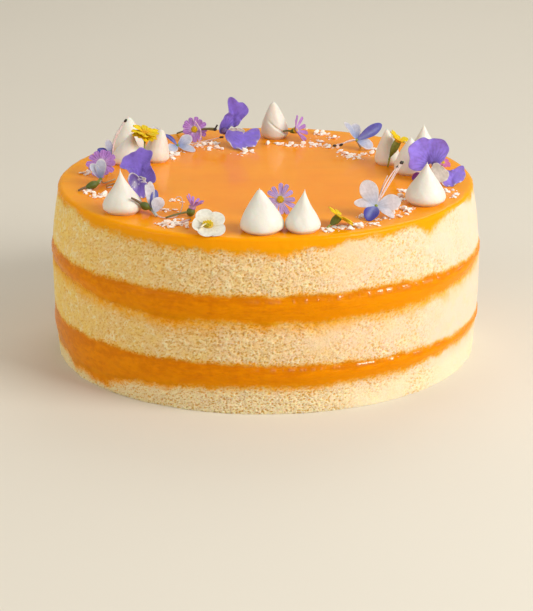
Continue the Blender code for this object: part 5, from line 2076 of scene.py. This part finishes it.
# ---------------- crumbs
@dataclass
class Crumbs:
    """Broken flakes of meringue: the larger ones where the solids have them, and finer
    ones strewn round them in streaks that follow the ring of toppings.

    A patch is x, y, radius and number of larger crumbs, and a streak is x and y of a place
    where finer flakes lie. The solid draws are random numbers that the solids take for
    each larger crumb's corners, drawn here to keep step with them.
    """

    patches: Sequence[tuple[float, float, float, int]] = (
        (-98, 10, 3, 2), (-92, -31, 3, 3), (-85, -34, 3, 2), (-48.5, -87.5, 4.5, 5), (-41, -91, 3, 2),
        (-50, 46, 3, 2), (-33, 68, 4, 3), (-27, 60, 3, 2), (-8, 55, 4, 3), (2, 71, 3, 2),
        (14, 71, 2, 1), (22, 69, 3, 2), (29, 69, 3, 2), (32, 94, 4, 2), (38, 62, 4, 3),
        (46, 47, 3, 3), (62, 49, 4, 3), (35, -99.5, 3, 2), (45.5, -96, 3.5, 3), (66, -66, 4, 4),
        (74, -63, 3, 2), (70, -42, 3, 3), (98, -28, 3, 3), (-57, -88, 3, 1), (24, 103, 2, 1),
    )
    streaks: Sequence[tuple[float, float]] = (
        (28, -95), (32, -99), (37, -93), (42, -95), (45, -88), (49, -74), (54, -88), (60, -78), (66, -74),
        (72, -62), (75, -60), (73, -27), (72, -44), (96, -28), (99, -36), (61, 59), (44, 50), (47, 42),
        (51, 42), (55, 49), (30, 93), (34, 93), (38, 85), (24, 107), (8, 72), (14, 68), (21, 66), (28, 69),
        (31, 77), (36, 64), (-98, 10), (-94, -25), (-90, -34), (-86, -33), (-51, -88), (-49, -90),
        (-47, -85), (-44, -87), (-41, -81), (-50, -61), (-47, -44), (-53, 47), (-50, 52), (-53, 39),
        (-39, 69), (-35, 70), (-33, 77), (-31, 63), (-29, 72), (-12, 52),
    )
    sizes: tuple[float, float] = (1.5, 3.0)
    seed: int = 14
    limit: float = 105.5
    flakes_each: int = 16
    solid_draws: int = 23

    def larger(self) -> list[tuple[float, float, Array, float]]:
        """The larger crumbs, drawn as for the solids.

        Returns:
            x, y, half sizes and turn of each.
        """
        draw = random.Random(self.seed)
        taken = [(kiss.x, kiss.y, kiss.radius + 0.6) for kiss in KISSES]
        found = []
        for x, y, spread, count in self.patches:
            for _ in range(count):
                bearing = draw.uniform(0, TAU)
                away = spread * math.sqrt(draw.random())
                size = draw.uniform(*self.sizes)
                spot = (x + away * math.cos(bearing), y + away * math.sin(bearing))
                free = all(math.dist(spot, other[:2]) > other[2] + 0.65 * size for other in taken)
                if free and math.hypot(*spot) < self.limit:
                    taken.append((*spot, 0.65 * size))
                    turn = draw.uniform(0, math.pi)
                    broad = 0.5 * size * draw.uniform(0.5, 0.75)
                    thick = 0.3 * size * draw.uniform(0.8, 1.1)
                    rough = 0.6 + 0.2 * draw.random()
                    for _ in range(self.solid_draws):
                        draw.random()
                    half = np.array([0.5 * size, broad, thick]) * 1.74 * rough
                    found.append((*spot, half, turn))
        return found

    def finer(self, draw: random.Random) -> list[tuple[float, float, Array, float]]:
        """The finer flakes, flat and of many sizes.

        Args:
            draw: Where random numbers come from.

        Returns:
            x, y, half sizes and turn of each.
        """
        found = []
        for x, y in self.streaks:
            along = math.atan2(y, x) + 0.5 * math.pi
            for _ in range(self.flakes_each):
                run, side = draw.gauss(0, 2.5), draw.gauss(0, 1.5)
                spot = (x + run * math.cos(along) - side * math.sin(along),
                        y + run * math.sin(along) + side * math.cos(along))
                size = 0.6 + 1.9 * draw.random() ** 2.4
                clear = all(math.dist(spot, (k.x, k.y)) > k.radius + 0.45 * size for k in KISSES)
                if clear and math.hypot(*spot) < self.limit + 1.2:
                    half = np.array([0.6, draw.uniform(0.28, 0.5), draw.uniform(0.12, 0.22)]) * size
                    found.append((*spot, half, draw.uniform(0, math.pi)))
        return found

    def build(self, material: Material) -> Piece:
        """Make every crumb: a ball pushed towards a block, broken by coarse noise.

        Args:
            material: Its finish.

        Returns:
            All of them as one piece.
        """
        draw = random.Random(self.seed + 1)
        form = ball((0, 0, 0), (1, 1, 1), (0, 0, 1), 6, 9)
        form = np.sign(form) * np.abs(form) ** 0.66
        shell = Shell()
        for i, (x, y, half, turn) in enumerate([*self.larger(), *self.finer(draw)]):
            rough = form * half * (1 + 0.42 * Noise.smooth(form * 1.5 + i * 3.1, i))[..., None]
            tilt, lean = draw.uniform(-0.25, 0.25), draw.uniform(-0.25, 0.25)
            c, s = math.cos(turn), math.sin(turn)
            turned = rough @ np.array([[c, s, tilt], [-s, c, lean], [0, 0, 1]])
            low = turned[..., 2].min()
            tint = blend((1.0, 1.0, 1.0), srgb(255, 240, 230), draw.random() ** 1.5)
            shell.grid(turned + np.array([x, y, FORM.height - low - 0.06]), tint, wrap=True, capped=True)
        piece = shell.build("meringue_crumbs", material, smooth=False)
        return settle(piece, Slot.MERINGUE)


@dataclass(frozen=True)
class Twig:
    """A loose bit of stem that lies on the glaze, thickest in its middle, its end dark."""

    name: str
    start: tuple[float, float]
    end: tuple[float, float]
    radius: float
    tone: Point

    def build(self, material: Material) -> Piece:
        """Make the twig: rings along a line that bows a little, rounded at both ends.

        Args:
            material: Its finish.

        Returns:
            The twig.
        """
        t = np.linspace(0, 1, 26)
        across = unit(np.array([self.start[1] - self.end[1], self.end[0] - self.start[0]]))
        bow = np.outer(0.5 * np.sin(math.pi * t), across)
        flat = np.outer(1 - t, self.start) + np.outer(t, self.end) + bow
        path = np.column_stack([flat, np.full(len(t), FORM.height + 0.9 * self.radius)])
        rounded = 0.35 + 0.65 * np.sin(math.pi * (0.06 + 0.88 * t)) ** 0.5
        radii = self.radius * rounded * (1 + 0.1 * np.sin(17 * t))
        tint = blend(self.tone, Tone.BROWN, np.tile(smoothstep(0.7, 1.0, t)[:, None], (1, 12)))
        shell = Shell()
        shell.grid(tube(path, radii), tint, wrap=True, capped=True)
        return settle(shell.build(self.name, material), Slot.PALE)


TWIGS = (
    Twig("twig_left", (-84.7, -15.4), (-80.7, -10.8), 0.42, Tone.TWIG),
    Twig("twig_left_pale", (-81.9, -16.6), (-84.5, -18.9), 0.36, Tone.FILAMENT),
    Twig("twig_front_left", (-44.9, -88.4), (-38.0, -79.0), 0.6, Tone.TWIG_ROSY),
)


# ---------------- stage
@dataclass
class Stage:
    """Camera, soft studio light and the pale floor that rises behind the cake.

    The camera and the lights are in metres, millimetres of lens, degrees and watts, and the
    floor is in millimetres. The floor's bend is the radius between it and the wall.
    """

    distance: float = 1.3081
    elevation: float = 19.4284
    pitch: float = 18.5862
    roll: float = -0.2336
    lens: float = 139.74
    shift: float = 0.00086
    key: float = 18.0
    side: float = 5.0
    back: float = 5.0
    ambient: float = 0.45
    floor_half: float = 4000
    floor_front: float = 3000
    floor_back: float = 1400
    floor_bend: float = 800
    wall_top: float = 3500

    def build(self) -> None:
        """Place everything."""
        self.add_camera()
        self.add_floor()
        self.add_light("key", (1.05, -0.62, 0.8), 0.8, self.key, (1.0, 0.97, 0.92))
        self.add_light("side", (-1.2, -0.5, 0.6), 0.9, self.side, (1.0, 0.91, 0.78))
        self.add_light("back", (0.25, 1.1, 1.1), 0.9, self.back, (1.0, 0.97, 0.93))
        world = bpy.data.worlds.new("soft_room")
        world.use_nodes = True
        background = world.node_tree.nodes["Background"]
        background.inputs["Color"].default_value = (1.0, 0.97, 0.92, 1)
        background.inputs["Strength"].default_value = self.ambient
        bpy.context.scene.world = world
        bpy.context.scene.view_settings.view_transform = "Standard"

    def add_camera(self) -> None:
        """Add the camera at the photograph's place and angle."""
        rise = math.radians(self.elevation)
        camera = bpy.data.cameras.new("camera")
        camera.lens = self.lens
        camera.shift_x = self.shift
        holder = bpy.data.objects.new("camera", camera)
        spot = Matrix.Translation((0, -self.distance * math.cos(rise), self.distance * math.sin(rise)))
        tilt = Matrix.Rotation(math.radians(90 - self.pitch), 4, "X")
        holder.matrix_world = spot @ tilt @ Matrix.Rotation(math.radians(self.roll), 4, "Z")
        bpy.context.scene.collection.objects.link(holder)
        bpy.context.scene.camera = holder

    def add_light(self, name: str, place: Point, size: float, power: float, colour: Point) -> None:
        """Add a square soft light that looks at the cake.

        Args:
            name: Its name.
            place: Where it stands, in metres.
            size: Its side.
            power: Its power, in watts.
            colour: Its colour.
        """
        light = bpy.data.lights.new(name, "AREA")
        light.size = size
        light.energy = power
        light.color = colour
        holder = bpy.data.objects.new(name, light)
        holder.location = place
        holder.rotation_euler = (Vector((0, 0, 0.06)) - Vector(place)).to_track_quat("-Z", "Y").to_euler()
        bpy.context.scene.collection.objects.link(holder)

    def add_floor(self) -> None:
        """Add the floor: level under the cake, curving up into a wall behind it.

        Along its length the section is a straight run, a quarter circle and a straight
        rise.
        """
        across = np.linspace(-self.floor_half, self.floor_half, 24)
        level = np.linspace(-self.floor_front, self.floor_back, 40)
        turn = np.linspace(0, 0.5 * math.pi, 24)[1:]
        wall = np.linspace(self.floor_bend + 100, self.wall_top, 12)
        behind = np.full(len(wall), self.floor_back + self.floor_bend)
        y = np.concatenate([level, self.floor_back + self.floor_bend * np.sin(turn), behind])
        z = np.concatenate([np.zeros(len(level)), self.floor_bend * (1 - np.cos(turn)), wall])
        x, y = np.meshgrid(across, y)
        grid = np.stack([x, y, np.broadcast_to(z[:, None], x.shape) - 0.05], -1)
        shell = Shell()
        shell.grid(grid)
        shell.build("floor", StageFinish().build())


# ---------------- assembly
LAYERS = (
    CakeLayer("sponge_bottom", FORM.floor, FORM.curd_lower_foot, Slot.SPONGE),
    CakeLayer("curd_lower", FORM.curd_lower_foot, FORM.curd_lower_head, Slot.CURD),
    CakeLayer("sponge_middle", FORM.curd_lower_head, FORM.curd_upper_foot, Slot.SPONGE),
    CakeLayer("curd_upper", FORM.curd_upper_foot, FORM.curd_upper_head, Slot.CURD),
    CakeLayer("sponge_top", FORM.curd_upper_head, FORM.glaze_foot, Slot.SPONGE),
)


def main() -> None:
    """Build the cake from the foot up, its toppings and the stage."""
    logging.basicConfig(level=logging.INFO, format="%(name)s: %(message)s")
    cake = CakeFinish().build()
    for layer in LAYERS:
        layer.build(cake)
    Glaze().build(cake)
    meringue = MeringueFinish().build()
    for kiss in KISSES:
        kiss.build(meringue)
    plant = PlantFinish().build()
    velvet = PetalFinish("violet_petal", glow=0.16, roughness=0.55, veins=26, sheen=0.35).build()
    pale = PetalFinish("pale_petal", glow=0.4, roughness=0.42, veins=30).build()
    lilac = PetalFinish("lilac_petal", glow=0.3, veins=12).build()
    yellow = PetalFinish("yellow_petal", glow=0.1, veins=12, sheen=0.0).build()
    white = PetalFinish("white_petal", glow=0.12, veins=24).build()
    looks = ((VIOLETS, velvet), (BUTTERFLIES, pale), (DAISIES, lilac), (YELLOWS, yellow), (WHITES, white))
    for flowers, look in looks:
        for flower in flowers:
            flower.build(look, plant)
    Crumbs().build(MeringueFinish("meringue_flakes", srgb(254, 252, 247), srgb(250, 242, 234), 0.0).build())
    for twig in TWIGS:
        twig.build(plant)
    Stage().build()


if __name__ == "__main__":
    main()
